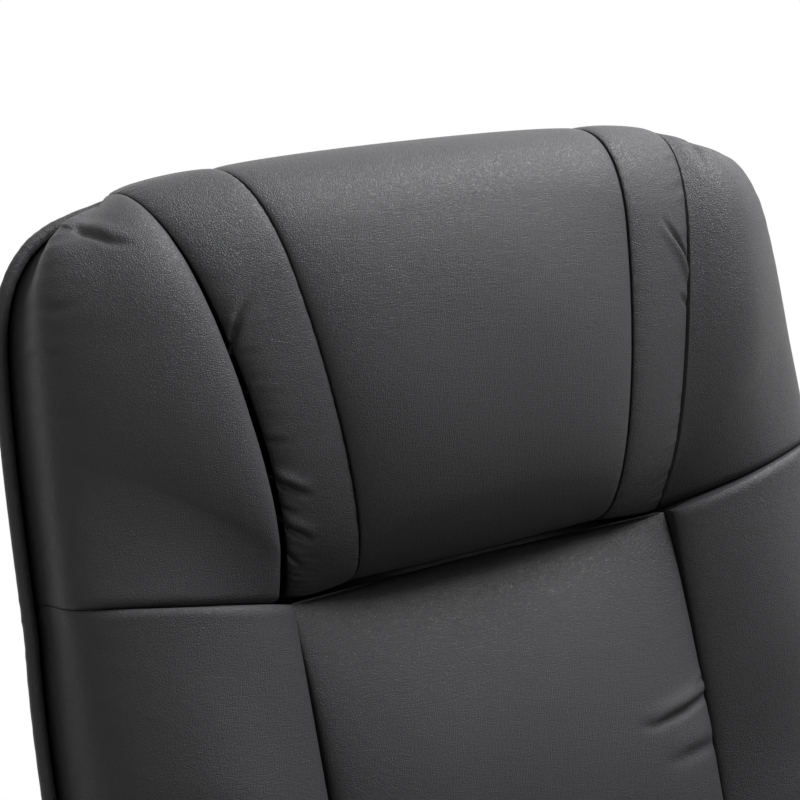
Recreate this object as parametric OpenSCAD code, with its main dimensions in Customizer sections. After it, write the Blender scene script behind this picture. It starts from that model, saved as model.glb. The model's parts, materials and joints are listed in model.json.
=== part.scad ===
// Swivel recliner with a fold-out footrest.
// Front is -Y, up is +Z, and the sitter's right is -X.
// The origin is on the floor, on the swivel axis.

/* [Seat] */
// Height of the seat cushion's top above the floor
seat_h = 455; // [440:1:475]
// Thickness of the seat cushion
seat_t = 80; // [68:1:92]
// Width of the seat cushion
seat_w = 508; // [490:1:530]
// Distance from the swivel axis to the seat cushion's front
seat_front = 386; // [375:1:396]
// Distance from the swivel axis to the seat cushion's rear edge
seat_rear = 148; // [130:1:150]
// Half of the width of the seat's centre panel
seat_seam_x = 160; // [130:1:185]

/* [Seat frame] */
// Height of the timber rails
rail_h = 60; // [54:1:66]
// Thickness of the timber rails
rail_t = 22; // [18:1:26]
// Distance from the swivel axis to the frame's front face
frame_front = 345; // [340:1:352]
// Distance from the swivel axis to the rear rail's rear face
frame_rear = 162; // [152:1:168]
// Thickness of the wire springs
wire_t = 4; // [3:0.5:5]

/* [Back] */
// Distance of the back's pivot behind the swivel axis
pivot_back = 215; // [208:1:222]
// Lean of the back at rest, from upright
back_lean = 18.6; // [15:0.1:22]
// How far the back reaches past the seat on each side
back_overhang = 62; // [56:1:70]
// Length of the back's outline above its pivot
back_l = 752; // [740:1:770]
// Where the upholstery starts above the pivot
back_start = 48; // [48:1:54]
// Height of the head roll above its seam
head_h = 298; // [290:1:306]
// How far the head roll rises past the back's outline
head_over = 6; // [4:1:10]
// Width of each side panel at the head seam
side_panel_w = 154; // [146:1:170]
// Width of each strip beside the head roll's centre panel, at the head seam
strip_w = 55.5; // [48:0.5:64]
// Depth of the rear cover
cover_d = 59; // [54:1:66]
// Thickness of the rear cover
cover_t = 4; // [3:0.5:5]
// How far the rear cover narrows towards its rear, on each side
cover_taper = 26; // [20:1:30]
// Diameter of the welt
welt_d = 9; // [7:0.5:10]
// How far the welt stands out from its place behind the head roll, at the back's sides
welt_stand = 10; // [9.5:0.5:12]

/* [Back frame] */
// Width of the back frame's stiles
stile_w = 28; // [22:1:30]
// Depth of the back frame
stile_d = 32; // [26:1:36]
// Thickness of the hinge plates and of the back brackets
hinge_t = 5; // [4:0.5:6]
// Diameter of the hinge bolts
hinge_bolt_d = 12; // [10:1:14]
// Diameter of the hand wheels
wheel_d = 72; // [64:1:76]

/* [Arms] */
// Height of the arm pads' top above the seat cushion's top
arm_rise = 145; // [135:1:165]
// Thickness of the arm pads
arm_pad_t = 66; // [54:1:72]
// Width of the arm pads
arm_pad_w = 118; // [100:1:124]
// Width of the arm below its pad
arm_w = 80; // [72:1:90]
// How far the arms reach below the seat frame
arm_skirt = 65; // [59:1:71]
// Distance from the swivel axis to the arm's front
arm_front = 352; // [345:1:360]
// Thickness of the arm's padding
arm_foam_t = 8; // [6:0.5:10]

/* [Footrest] */
// Length of the long links between their pins
link_l = 150; // [146:1:154]
// Length of the outer links between their pins
outer_l = 150; // [146:1:154]
// Width of the links
link_w = 20; // [17:1:22]
// Width of a link's bar, as a share of its eyes
eye_bar_share = 0.86; // [0.8:0.02:0.92]
// Thickness of the links
link_t = 4; // [3:0.5:4.5]
// Diameter of the link pins
link_pin_d = 10; // [8:1:11]
// Length of the drive rods between their pins
rod_l = 85; // [80:1:90]
// Radius of the cranks
crank_r = 45; // [40:1:48]
// Width of the footrest pad
foot_w = 496; // [460:1:506]
// Height of the footrest pad while it is folded away
foot_h = 240; // [220:1:246]
// Thickness of the footrest pad
foot_t = 46; // [38:1:50]
// Length of the lever handle
lever_l = 150; // [120:1:170]

/* [Base] */
// Diameter of the base plate
base_d = 660; // [600:1:700]
// Thickness of the base plate's steel
base_t = 3; // [2:0.5:4]
// Diameter of the column
column_d = 60; // [54:1:66]
// Wall of the column
column_wall = 5; // [4:0.5:6]
// Width of the square swivel plate
swivel_w = 240; // [236:1:250]
// Thickness of the swivel plate
swivel_t = 6; // [5:0.5:8]
// Height of the bearers
bearer_h = 20; // [18:1:24]
// Width of the bearers
bearer_w = 40; // [34:1:44]

/* [Fits] */
// Radial clearance of pins, bushes and bolts in their holes
fit = 0.05; // [0.03:0.01:0.08]
// Gap between a soft piece and its neighbour
soft_gap = 0.3; // [0.3:0.05:0.6]
// Gap that a moving piece keeps from its neighbour
move_gap = 0.5; // [0.4:0.1:0.8]

/* [Hidden] */
$fn = 48;
cut = 1;
seam_gap = 0.6;

// Heights, from the seat down
frame_top = seat_h - seat_t;
frame_mid = frame_top - rail_h / 2;
frame_bottom = frame_top - rail_h;
bearer_bottom = frame_bottom - bearer_h;
swivel_bottom = bearer_bottom - swivel_t;
arm_h = seat_h + arm_rise;
arm_bottom = frame_bottom - arm_skirt;

// Places across the seat
frame_x = seat_w / 2 - 0.8 * hinge_t;
rail_x = frame_x - rail_t;
bracket_x = frame_x + hinge_t + soft_gap;
stile_x = bracket_x + hinge_t;
arm_gap = 2;
arm_x = seat_w / 2 + arm_gap;
apron_t = 5;
bearer_y = 95;
arm_board_t = 18;
spring_waves = 13;
apron_rear = 118;

// The back's frame of reference: u across, h up from the head seam, w towards the sitter
pivot_z = frame_mid;
seam_off = 62;
cushion_back = 36;
cushion_edge = 2;
lip_reach = 4;
lumbar_tuck = 1;
spring_front = cushion_back + soft_gap;
stile_front = spring_front + wire_t + move_gap;
stile_rear = stile_front + stile_d;
back_w = seat_w + 2 * back_overhang;
half_w = back_w / 2;
head_v = back_l + head_over - head_h;
head_roll_w = back_w - 2 * side_panel_w;
head_panel_w = head_roll_w - 2 * strip_w;
lumbar_w = head_roll_w - 2 * lumbar_tuck;
cover_front = cushion_back + soft_gap + welt_d + soft_gap;
cover_rear = cover_front + cover_d;

// Shares of the back's half width and of its length, as the control points of smooth curves
outline_shares = [
  [0, 1], [0.348, 1], [0.57, 0.997],
  [0.712, 0.976], [0.848, 0.955], [0.924, 0.936],
  [0.953, 0.878], [0.978, 0.824], [0.988, 0.745],
  [1.003, 0.625], [1.04, 0.505], [1.05, 0.27],
  [0.949, back_start / back_l]
];
// Shares of the head roll's height: side views of its middle, of its inner and of its outer seams
head_mid_shares = [
  [0, -0.02], [-0.04, 0.03], [-0.013, 0.1],
  [0.15, 0.13], [0.37, 0.17], [0.64, 0.19],
  [0.805, 0.148], [0.923, 0.114], [0.993, 0.027],
  [1, -0.1], [1.003, -0.107], [1, -0.113], [0.987, -0.115]
];
head_inner_shares = [
  [0, -0.027], [-0.013, 0], [0.007, 0.02],
  [0.067, 0.04], [0.27, 0.11], [0.5, 0.148],
  [0.72, 0.131], [0.88, 0.114], [0.955, 0.03],
  [0.962, -0.07], [0.964, -0.09], [0.964, -0.1], [0.962, -0.115]
];
head_outer_shares = [
  [0, -0.007], [0.027, 0.007], [0.054, 0.017],
  [0.1, 0.03], [0.27, 0.09], [0.47, 0.128],
  [0.654, 0.111], [0.82, 0.094], [0.9, 0.01],
  [0.914, -0.07], [0.916, -0.09], [0.917, -0.1], [0.915, -0.115]
];
panel_flare = 46;
roll_flare = 65;
strip_crown = 8;
wing_crown = 16;
wing_shoulder = 4;
lumbar_crown = 16;
lumbar_bow = 10;
lumbar_seam_w = 3;
valley = 9;
cross_seam_share = 0.738;
shoulder_share = 0.285;

head_rings = 20;
panel_cols = 12;
strip_cols = 6;
wing_cols = 9;
low_rings = 12;

// The base, from the floor up
pad_t = 3;
pad_inset = 6;
weight_t = 10;
weight_inset = 80;
weight_d = base_d - 2 * weight_inset;
rim_h = 9;
hub_h = 27;
nut_wall = 10;
nut_d = column_d + 2 * nut_wall;
bush_t = 3;
bush_l = 30;
bush_flange_t = 3;
bearing_t = 6;
bearing_d = 76;
shoulder_t = 6;
collar_h = 34;
spindle_d = column_d - 2 * column_wall - 2 * bush_t;
column_top = swivel_bottom - shoulder_t - bearing_t - bush_flange_t - collar_h / 2;

// The bolts
bolt_d = 10;
bolt_head_t = 6;
bolt_head_d = 17;
bearer_wall = 2.5;
swivel_bolt_x = 100;

// The footrest linkage, in a side view: distance to the front, then height
fold_f = 250;
fold_drop = 25;
tail_l = 28;
tail_angle = 270.7;
long_angle = -96;
long_sweep_angle = 84;
outer_angle = 52.6;
outer_sweep_angle = -34.6;
crank_angle = 48;
front_share = 0.8;
cross_tube_d = 16;
cross_tube_share = 0.4;
open_pin_d = 6;
open_play = 0.8;
pin_head_d = 15;
pin_head_t = 1.5;
sleeve_d = 15;
plate_t = 5;
plate_lap = 22;
plate_reach = 44;
link_gap = 2;
shaft_d = 16;
shaft_bush_t = 3;
bracket_reach = 18;
bracket_t = 4;
board_t = 12;
board_inset = 8;
foot_drop = 40;
lever_x = 6;
lever_w = 26;
lever_t = 15;
lever_angle = 35;
bezel_t = 4;
bezel_d = 46;

function toward(a) = [cos(a), sin(a)];
function mix(a, b, t) = a + (b - a) * t;
function turned(v) = [-v[1], v[0]];
function circle_mid(a, b, c) =
  let (p = b - a, q = c - a, d = 2 * (p[0] * q[1] - p[1] * q[0]))
  a + [q[1] * (p * p) - p[1] * (q * q), p[0] * (q * q) - q[0] * (p * p)] / d;

fold_pin = [fold_f, frame_bottom - fold_drop];
shaft_pin = fold_pin - [rod_l, 0];
knee_pin = fold_pin + link_l * toward(long_angle);
foot_pin = knee_pin + outer_l * toward(outer_angle);
mid_pin = fold_pin + front_share * link_l * toward(long_angle);
pad_pin = foot_pin + (1 - front_share) * link_l * toward(long_angle + 180);
elbow_pin = fold_pin + crank_r * toward(crank_angle);
crank_pin = shaft_pin + crank_r * toward(crank_angle);
function tail_at(s) = fold_pin + link_l * toward(long_angle + s * long_sweep_angle)
  + tail_l * toward(outer_angle + s * outer_sweep_angle + tail_angle);
tail_pin = tail_at(0);
rear_pin = circle_mid(tail_at(0), tail_at(0.5), tail_at(1));
plate_x = rail_x - plate_t;
function plane_x(k) = plate_x - k * (link_t + link_gap);
board_f = foot_pin[0] + bracket_reach;
foot_top = foot_pin[1] + foot_drop;
foot_bottom = foot_top - foot_h;

// Curves: cubic stretches that share their end points
function stretch(c, k, s) =
  let (a = c[3 * k], b = c[3 * k + 1], d = c[3 * k + 2], e = c[3 * k + 3], r = 1 - s)
  a * r * r * r + 3 * b * r * r * s + 3 * d * r * s * s + e * s * s * s;
function curve(c, t) =
  let (n = (len(c) - 1) / 3, k = min(floor(t * n), n - 1))
  stretch(c, k, t * n - k);
function ease(t) = (1 - cos(180 * t)) / 2;
function swell(s, power) = pow(max(0, 1 - pow(abs(s), power)), 0.5);

// A closed skin over rings of points, with a fan on each end
module loft(rings) {
  n = len(rings[0]);
  m = len(rings);
  ends = [for (r = [rings[0], rings[m - 1]]) [for (p = r) 1] * r / n];
  skin = [for (k = [0:m - 2]) for (i = [0:n - 1])
    let (a = k * n + i, b = k * n + (i + 1) % n)
    each [[a, b, b + n], [a, b + n, a + n]]];
  low = [for (i = [0:n - 1]) [(i + 1) % n, i, n * m]];
  high = [for (i = [0:n - 1]) [(m - 1) * n + i, (m - 1) * n + (i + 1) % n, n * m + 1]];
  polyhedron(points = concat([for (r = rings) each r], ends), faces = concat(skin, low, high));
}

// Places a child that is drawn in the side view, from x to x + t
module side_view(x, t) {
  translate([x + t, 0, 0]) rotate([90, 0, -90]) linear_extrude(t) children();
}
module pair() {
  children();
  mirror([1, 0, 0]) children();
}
module on_side(side) {
  if (side > 0) children();
  else mirror([1, 0, 0]) children();
}
module on_back() {
  translate([0, pivot_back, pivot_z]) rotate([-back_lean, 0, 0]) children();
}
module bar(p, q, w) {
  d = q - p;
  translate(p) circle(d = w);
  translate(q) circle(d = w);
  translate(p) rotate(atan2(d[1], d[0])) translate([0, -w / 2]) square([norm(d), w]);
}
module hole(p, d) {
  translate(p) circle(d = d);
}
// A link with a round eye on each end, wider than its bar
module eye_bar(p, q, w) {
  d = q - p;
  hole(p, w);
  hole(q, w);
  translate(p) rotate(atan2(d[1], d[0])) translate([0, -eye_bar_share * w / 2])
    square([norm(d), eye_bar_share * w]);
}
// A pin across the seat at p, from x to x + l, with a head on each end
module link_pin(p, x, l, d) {
  side_view(x, l) hole(p, d);
  side_view(x - pin_head_t, pin_head_t) hole(p, pin_head_d);
  side_view(x + l, pin_head_t) hole(p, pin_head_d);
}
// A corner-rounded convex outline, with n points on each corner
function rounded(pts, r, n) = [
  for (i = [0:len(pts) - 1])
    let (
      p = pts[i], a = pts[(i + len(pts) - 1) % len(pts)] - p, b = pts[(i + 1) % len(pts)] - p,
      ua = a / norm(a), ub = b / norm(b), half = acos(ua * ub) / 2,
      m = p + (ua + ub) / norm(ua + ub) * r / sin(half),
      from = p + ua * r / tan(half) - m, to = p + ub * r / tan(half) - m,
      g0 = atan2(from[1], from[0]), dg = atan2(to[1], to[0]) - g0,
      sweep = dg > 180 ? dg - 360 : dg < -180 ? dg + 360 : dg
    )
    for (k = [0:n]) m + r * toward(g0 + sweep * k / n)
];

// The base
module floor_pad() {
  color("#202020") cylinder(d = base_d - 2 * pad_inset, h = pad_t, $fn = 96);
}
// The dish in section: a domed disc that rises into a trumpet round the column
dish_shares = [[0, 0.25], [0.3, 0.36], [0.6, 0.55], [0.83, 0.67], [0.92, 0.72], [0.97, 0.8], [1, 1]];
module base_plate() {
  r = base_d / 2;
  bore = column_d / 2 + fit;
  high = hub_h + rim_h;
  steps = 14;
  top = [for (i = [0:steps])
    let (p = curve(dish_shares, i / steps))
    [mix(r - rim_h / 2, bore + base_t, p[0]), pad_t + high * p[1]]];
  color("#c8c9cb") rotate_extrude($fn = 96) polygon(concat(
    [[r, pad_t], [r, pad_t + rim_h / 2]], top,
    [[bore, pad_t + high], [bore, top[steps - 1][1] - base_t]],
    [for (i = [steps - 2:-1:0]) top[i] - [0, base_t]], [[r - base_t, pad_t + rim_h / 2], [r - base_t, pad_t]]
  ));
}
module base_weight() {
  color("#3a3a3c") translate([0, 0, pad_t]) difference() {
    cylinder(d = weight_d, h = weight_t, $fn = 96);
    translate([0, 0, -cut]) cylinder(d = nut_d + 2 * cut, h = weight_t + 2 * cut);
  }
}
module base_nut() {
  color("#9a9b9e") translate([0, 0, pad_t]) difference() {
    cylinder(d = nut_d, h = weight_t, $fn = 6);
    translate([0, 0, -cut]) cylinder(d = column_d + 2 * fit, h = weight_t + 2 * cut);
  }
}
module base_column() {
  color("#c8c9cb") difference() {
    translate([0, 0, pad_t]) cylinder(d = column_d, h = column_top - pad_t);
    cylinder(d = column_d - 2 * column_wall, h = column_top + cut);
  }
}
module column_bushes() {
  outer = column_d - 2 * column_wall - 2 * fit;
  inner = spindle_d + 2 * fit;
  color("#e8e6df") {
    difference() {
      union() {
        translate([0, 0, column_top - bush_l]) cylinder(d = outer, h = bush_l + bush_flange_t);
        translate([0, 0, column_top]) cylinder(d = column_d, h = bush_flange_t);
      }
      translate([0, 0, column_top - bush_l - cut]) cylinder(d = inner, h = 2 * bush_l);
    }
    translate([0, 0, column_top - 4 * bush_l]) difference() {
      cylinder(d = outer, h = bush_l);
      translate([0, 0, -cut]) cylinder(d = inner, h = bush_l + 2 * cut);
    }
  }
}
module thrust_bearing() {
  color("#b0b2b5") translate([0, 0, column_top + bush_flange_t]) difference() {
    cylinder(d = bearing_d, h = bearing_t);
    translate([0, 0, -cut]) cylinder(d = spindle_d + 2 * fit, h = bearing_t + 2 * cut);
  }
}
module column_collar() {
  low = pad_t + hub_h + rim_h + fit;
  color("#d4d5d7") rotate_extrude() {
    polygon([
      [column_d / 2 + fit, low], [column_d / 2 + base_t + rim_h, low],
      [column_d / 2 + base_t + rim_h, low + base_t], [column_d / 2 + base_t, low + collar_h],
      [column_d / 2 + fit, low + collar_h]
    ]);
  }
}

// The swivelling seat carrier
module swivel_spindle() {
  low = column_top - 4 * bush_l - bush_l / 2;
  shoulder = column_top + bush_flange_t + bearing_t + fit;
  color("#a9abae") {
    translate([0, 0, low]) cylinder(d = spindle_d, h = swivel_bottom - low);
    translate([0, 0, shoulder]) cylinder(d = bearing_d, h = swivel_bottom - shoulder);
  }
}
module swivel_plate() {
  color("#2b2c2e") difference() {
    translate([-swivel_w / 2, -swivel_w / 2, swivel_bottom]) cube([swivel_w, swivel_w, swivel_t]);
    for (x = [-1, 1] * swivel_bolt_x, y = [-1, 1] * bearer_y)
      translate([x, y, swivel_bottom - cut]) cylinder(d = bolt_d + 2 * fit, h = swivel_t + 2 * cut);
  }
}
module seat_bearers() {
  inner_w = bearer_w - 2 * bearer_wall;
  color("#2b2c2e") for (y = [-1, 1] * bearer_y) difference() {
    translate([-frame_x, y - bearer_w / 2, bearer_bottom]) cube([2 * frame_x, bearer_w, bearer_h]);
    translate([-frame_x - cut, y - inner_w / 2, bearer_bottom + bearer_wall])
      cube([2 * frame_x + 2 * cut, inner_w, bearer_h - 2 * bearer_wall]);
    for (x = [-1, 1] * swivel_bolt_x) translate([x, y, bearer_bottom - cut])
      cylinder(d = bolt_d + 2 * fit, h = bearer_h + 2 * cut);
    for (x = [-1, 1] * (rail_x + rail_t / 2)) translate([x, y, bearer_bottom - cut])
      cylinder(d = bolt_d + 2 * fit, h = bearer_h + 2 * cut);
  }
}
module plate_bolts() {
  color("#8d8f92") for (y = [-1, 1] * bearer_y) {
    for (x = [-1, 1] * swivel_bolt_x) translate([x, y, swivel_bottom - bolt_head_t]) {
      cylinder(d = bolt_head_d, h = bolt_head_t, $fn = 6);
      cylinder(d = bolt_d, h = 2 * bolt_head_t + swivel_t + bearer_h + cut);
      translate([0, 0, bolt_head_t + swivel_t + bearer_h])
        cylinder(d = bolt_head_d, h = bolt_head_t, $fn = 6);
    }
    for (x = [-1, 1] * (rail_x + rail_t / 2)) translate([x, y, bearer_bottom - bolt_head_t]) {
      cylinder(d = bolt_head_d, h = bolt_head_t, $fn = 6);
      cylinder(d = bolt_d, h = bolt_head_t + bearer_h + rail_h / 2);
    }
  }
}

// The timber seat frame and what lies on it
arm_bolt_shares = [-0.23, 0.32];
arm_bolt_fs = arm_bolt_shares * frame_front;
module arm_bolt_holes(d) {
  for (f = arm_bolt_fs) hole([f, frame_mid], d);
}
module seat_frame() {
  end = [-pivot_back, pivot_z];
  inner = [2 * rail_x, rail_t, rail_h];
  color("#c9a574") difference() {
    union() {
      pair() side_view(rail_x, rail_t) difference() {
        union() {
          bar(end, [0, frame_mid], rail_h);
          translate([0, frame_bottom]) square([frame_front, rail_h]);
        }
        hole(end, hinge_bolt_d + 2 * fit);
        arm_bolt_holes(bolt_d + 2 * fit);
      }
      translate([-rail_x, -frame_front, frame_bottom]) cube(inner);
      translate([-rail_x, frame_rear - rail_t, frame_bottom]) cube(inner);
    }
    for (x = [-1, 1] * (rail_x + rail_t / 2), y = [-1, 1] * bearer_y)
      translate([x, y, frame_bottom - cut])
        cylinder(d = bolt_d + 2 * fit, h = rail_h / 2 + cut + fit);
  }
}
// A zigzag wire along +X from 0, of an odd number n of half waves
module zigzag(length, n, reach, w) {
  step = length / (n + 1);
  straight = reach - step / 2;
  for (x = [0, length - step / 2]) translate([x, -w / 2]) square([step / 2, w]);
  for (i = [0:n - 1]) {
    side = i % 2 == 0 ? 1 : -1;
    translate([step * (i + 1), side * straight]) intersection() {
      difference() {
        circle(d = step + w);
        circle(d = step - w);
      }
      translate([-step, side > 0 ? 0 : -step]) square([2 * step, step]);
    }
  }
  for (i = [0:n]) {
    low = i == 0 || i == n ? -w / 2 : -straight;
    translate([step * (i + 0.5) - w / 2, low]) square([w, straight - low]);
  }
}
seat_wave_share = 0.06;
module seat_springs() {
  span = frame_front + frame_rear - 2 * rail_t;
  color("#77797c") for (i = [-2:2])
    translate([i * seat_w / 6, frame_rear - rail_t, frame_top - wire_t - move_gap])
      rotate(-90) linear_extrude(wire_t) zigzag(span, spring_waves, seat_wave_share * seat_w, wire_t);
}
module seat_apron() {
  side_l = frame_front + soft_gap + apron_t + apron_rear;
  color("#1d1d1f") {
    translate([-frame_x - soft_gap - apron_t, -frame_front - soft_gap - apron_t, frame_bottom - soft_gap])
      cube([2 * (frame_x + soft_gap + apron_t), apron_t, rail_h]);
    pair() side_view(frame_x + soft_gap, apron_t) difference() {
      translate([-apron_rear, frame_bottom - soft_gap]) square([side_l - apron_t, rail_h]);
      arm_bolt_holes(bolt_d + 2 * fit);
    }
  }
}

// The seat cushion: side view in shares of its length and thickness, then its width in shares
seat_side_shares = [
  [0.012, 0], [-0.008, 0.25], [-0.008, 0.75],
  [0.045, 0.9], [0.12, 0.97], [0.5, 0.93],
  [0.78, 0.98], [0.93, 1.01], [1, 0.88],
  [1, 0.5], [1, 0.25], [0.992, 0.1], [0.965, 0]
];
seat_seam_share = 2 * seat_seam_x / seat_w;
groove_share = 0.03;
seat_half_shares = concat(
  [for (s = [0, 0.45, 0.85]) s * seat_seam_share],
  [for (s = [-1, 0, 1]) seat_seam_share + s * groove_share],
  [for (s = [0.35, 0.65, 0.87, 0.96, 1]) mix(seat_seam_share, 1, s)]
);
function mirrored(v) = [for (i = [len(v) - 1:-1:1]) -v[i], each v];
module seat_cushion() {
  steps = 22;
  half = seat_w / 2;
  length = seat_front + seat_rear;
  function groove(x) = 0.07 * exp(-pow((abs(x) - seat_seam_share) / (0.7 * groove_share), 2));
  function edge(x) = pow(abs(x), 8);
  color("#1b1b1d") loft([for (x = mirrored(seat_half_shares))
    [for (i = [0:steps])
      let (
        p = curve(seat_side_shares, i / steps),
        f = mix(p[0], 0.5, 0.04 * edge(x)) * length - seat_rear,
        z = p[1] * (1 - groove(x) - 0.16 * edge(x)) * (seat_t - soft_gap)
      )
      [x * half, -f, frame_top + soft_gap + z]]]);
}

// The hinge of the back
module hinge_plates() {
  color("#2b2c2e") pair() side_view(frame_x, hinge_t) difference() {
    bar([-pivot_back, pivot_z], [-frame_rear, pivot_z], rail_h);
    hole([-pivot_back, pivot_z], hinge_bolt_d + 2 * fit);
  }
}
module hinge_bolts() {
  inner = rail_x - bolt_head_t;
  tip = bracket_x + hinge_t + wheel_d / 3;
  pivot = [-pivot_back, pivot_z];
  color("#8d8f92") pair() {
    side_view(inner, tip - inner) hole(pivot, hinge_bolt_d);
    side_view(inner, bolt_head_t) translate(pivot) circle(d = 2 * hinge_bolt_d, $fn = 6);
  }
}
module recline_wheel(side) {
  from = bracket_x + hinge_t + soft_gap;
  t = wheel_d / 2;
  hub_t = t / 3;
  pivot = [-pivot_back, pivot_z];
  lobes = 8;
  lobe_share = 0.2;
  lobe_ring_share = 0.55;
  cap_share = 0.62;
  color("#18181a") on_side(side) {
    side_view(from, hub_t) difference() {
      hole(pivot, wheel_d / 2);
      hole(pivot, hinge_bolt_d + 2 * fit);
    }
    side_view(from + hub_t, t - hub_t) difference() {
      hole(pivot, wheel_d);
      hole(pivot, hinge_bolt_d + 2 * fit);
      for (i = [0:lobes - 1])
        hole(pivot + lobe_ring_share * wheel_d * toward(360 * i / lobes), lobe_share * wheel_d);
    }
    side_view(from + t, hub_t / 3) hole(pivot, cap_share * wheel_d);
  }
}

// The arms: the side view follows the lean of the back
arm_reach_w = 26;
function back_face_f(z) =
  let (d = arm_reach_w + seam_off)
  -(pivot_back - d * cos(back_lean) + (z - pivot_z - d * sin(back_lean)) * tan(back_lean));
function arm_side(inset, z0, z1) =
  let (rear = inset / cos(back_lean))
  [[back_face_f(z0 + inset) + rear, z0 + inset], [arm_front - inset, z0 + inset],
   [arm_front - inset, z1 - inset], [back_face_f(z1 - inset) + rear, z1 - inset]];
arm_top = arm_h - arm_pad_t;
arm_round = 30;
arm_steps = 6;
module arm_frame(side) {
  color("#c9a574") on_side(side) side_view(arm_x + arm_foam_t, arm_board_t) difference() {
    polygon(rounded(arm_side(arm_foam_t, arm_bottom, arm_top), arm_round - arm_foam_t, arm_steps));
    if (side < 0) hole(shaft_pin, shaft_d + 2 * shaft_bush_t);
    arm_bolt_holes(bolt_d + 2 * fit);
  }
}
module arm_cover(side) {
  steps = 3;
  wall = arm_foam_t - soft_gap;
  color("#1d1d1f") on_side(side) difference() {
    hull() for (k = [0:steps]) {
      inset = arm_foam_t * (1 - sin(90 * k / steps));
      across = arm_foam_t * (1 - cos(90 * k / steps));
      side_view(arm_x + across, arm_w - 2 * across)
        polygon(rounded(arm_side(inset, arm_bottom, arm_top), arm_round - inset, arm_steps));
    }
    side_view(arm_x + wall, arm_board_t + 2 * soft_gap)
      polygon(rounded(arm_side(wall, arm_bottom, arm_top), arm_round - wall, arm_steps));
    if (side < 0) side_view(arm_x - cut, arm_w + 2 * cut) hole(shaft_pin, shaft_d + 2 * shaft_bush_t);
    side_view(arm_x - cut, arm_foam_t + arm_board_t + arm_foam_t) arm_bolt_holes(bolt_d + 2 * fit);
  }
}
// The arm pad: its length in shares, each with a share of the pad's section
arm_pad_shares = [
  [0, 0.4], [0.008, 0.66], [0.03, 0.86], [0.08, 0.97], [0.25, 1], [0.6, 1],
  [0.88, 0.98], [0.955, 0.88], [0.987, 0.68], [1, 0.4]
];
module arm_pad(side) {
  around = 20;
  mid = arm_x + arm_w / 2 - arm_foam_t / 4;
  base_z = arm_top + soft_gap;
  front = arm_front + arm_foam_t;
  lean = tan(back_lean);
  color("#1b1b1d") on_side(side) loft([for (s = arm_pad_shares)
    [for (i = [0:around - 1])
      let (
        a = -360 * i / around,
        wide = arm_pad_w / 2 * (0.7 + 0.3 * s[1]) * sign(cos(a)) * pow(abs(cos(a)), 0.55),
        up = pow(abs(sin(a)), 0.6) * sign(sin(a)),
        z = base_z + (arm_pad_t - soft_gap) / 2 * (1 + up * s[1]),
        rear = back_face_f(z) + cut
      )
      [mid + wide, -mix(front, rear, s[0]), z]]]);
}
module arm_bolts() {
  from = rail_x - bolt_head_t;
  tip = arm_x + arm_foam_t + arm_board_t + arm_foam_t / 2;
  color("#8d8f92") pair() for (f = arm_bolt_fs) {
    side_view(from, tip - from) hole([f, frame_mid], bolt_d);
    side_view(from, bolt_head_t) translate([f, frame_mid]) circle(d = bolt_head_d, $fn = 6);
  }
}

// The back, in its own frame of reference
function back_pt(u, h, w) = [u, -(w + seam_off), h + head_v];
function outline(t) =
  let (p = curve(outline_shares, t))
  [p[0] * half_w, p[1] * back_l];
function outline_in(t, inset) =
  let (d = outline(min(t + 0.004, 1)) - outline(max(t - 0.004, 0)), n = turned(d) / norm(d))
  outline(t) - inset * n;
// The welt leaves the head roll's rear between these shares of the outline's course
welt_shares = [0.18, 0.38];
function welt_out(t) =
  ease(min(1, max(0, (t - welt_shares[0]) / (welt_shares[1] - welt_shares[0]))));
function welt_inset(t) = welt_d / 3 - welt_stand * welt_out(t);
outline_ts = [for (i = [0:22]) i / 22];
function both_sides(half) = concat(half, [for (i = [len(half) - 1:-1:1]) [-half[i][0], half[i][1]]]);
function outline_ring(inset) = both_sides([for (t = outline_ts) outline_in(t, inset)]);
function panel_u(h) = let (s = h / head_h) head_panel_w / 2 + panel_flare * s * (0.85 + 0.15 * s);
function roll_u(h) = let (s = h / head_h) head_roll_w / 2 + roll_flare * s * (0.53 + 0.47 * s);
function head_mid(t) = head_h * curve(head_mid_shares, t);
function head_inner(t) = head_h * curve(head_inner_shares, t);
function head_outer(t) = head_h * curve(head_outer_shares, t);
head_ts = [for (k = [0:head_rings]) k / head_rings];
// Where the flat rear of a head panel lies beside a point of its front
function head_rear_h(t) = mix(0, head_outer(1)[0], t);
function seam_w(w) = max(w, -(cushion_back - cushion_edge));
// A ring of the head roll: two rear corners and a front from u0 to u1
function head_ring(t, u0, h0, w0, u1, h1, w1, bow, n) = concat(
  [for (i = [0:n])
    let (s = i / n, e = bow(2 * s - 1), p = mix([h0, w0], [h1, w1], s))
    back_pt(mix(u0, u1, s), p[0] + e[0] + seam_gap / 2 * (1 - 2 * t), seam_w(p[1] + e[1]))],
  [back_pt(u1, head_rear_h(t) + seam_gap / 2, -cushion_back),
   back_pt(u0, head_rear_h(t) + seam_gap / 2, -cushion_back)]
);
module head_cushion() {
  color("#1b1b1d") on_back() loft([for (t = head_ts)
    let (q = head_inner(t), c = head_mid(t), u = panel_u(q[0]) - seam_gap / 2)
    head_ring(t, u, q[0], q[1], -u, q[0], q[1],
      function (s) (c - q) * swell(s, 2.6), panel_cols)]);
}
module head_bolster(side) {
  color("#1b1b1d") on_back() on_side(side) loft([for (t = head_ts)
    let (
      q = head_inner(t), o = head_outer(t),
      u0 = panel_u(q[0]) + seam_gap / 2, u1 = roll_u(o[0]) - seam_gap / 2
    )
    head_ring(t, u1, o[0], o[1], u0, q[0], q[1],
      function (s) [strip_crown * t, strip_crown * (1 - t)] * swell(s, 2.2), strip_cols)]);
}
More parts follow.
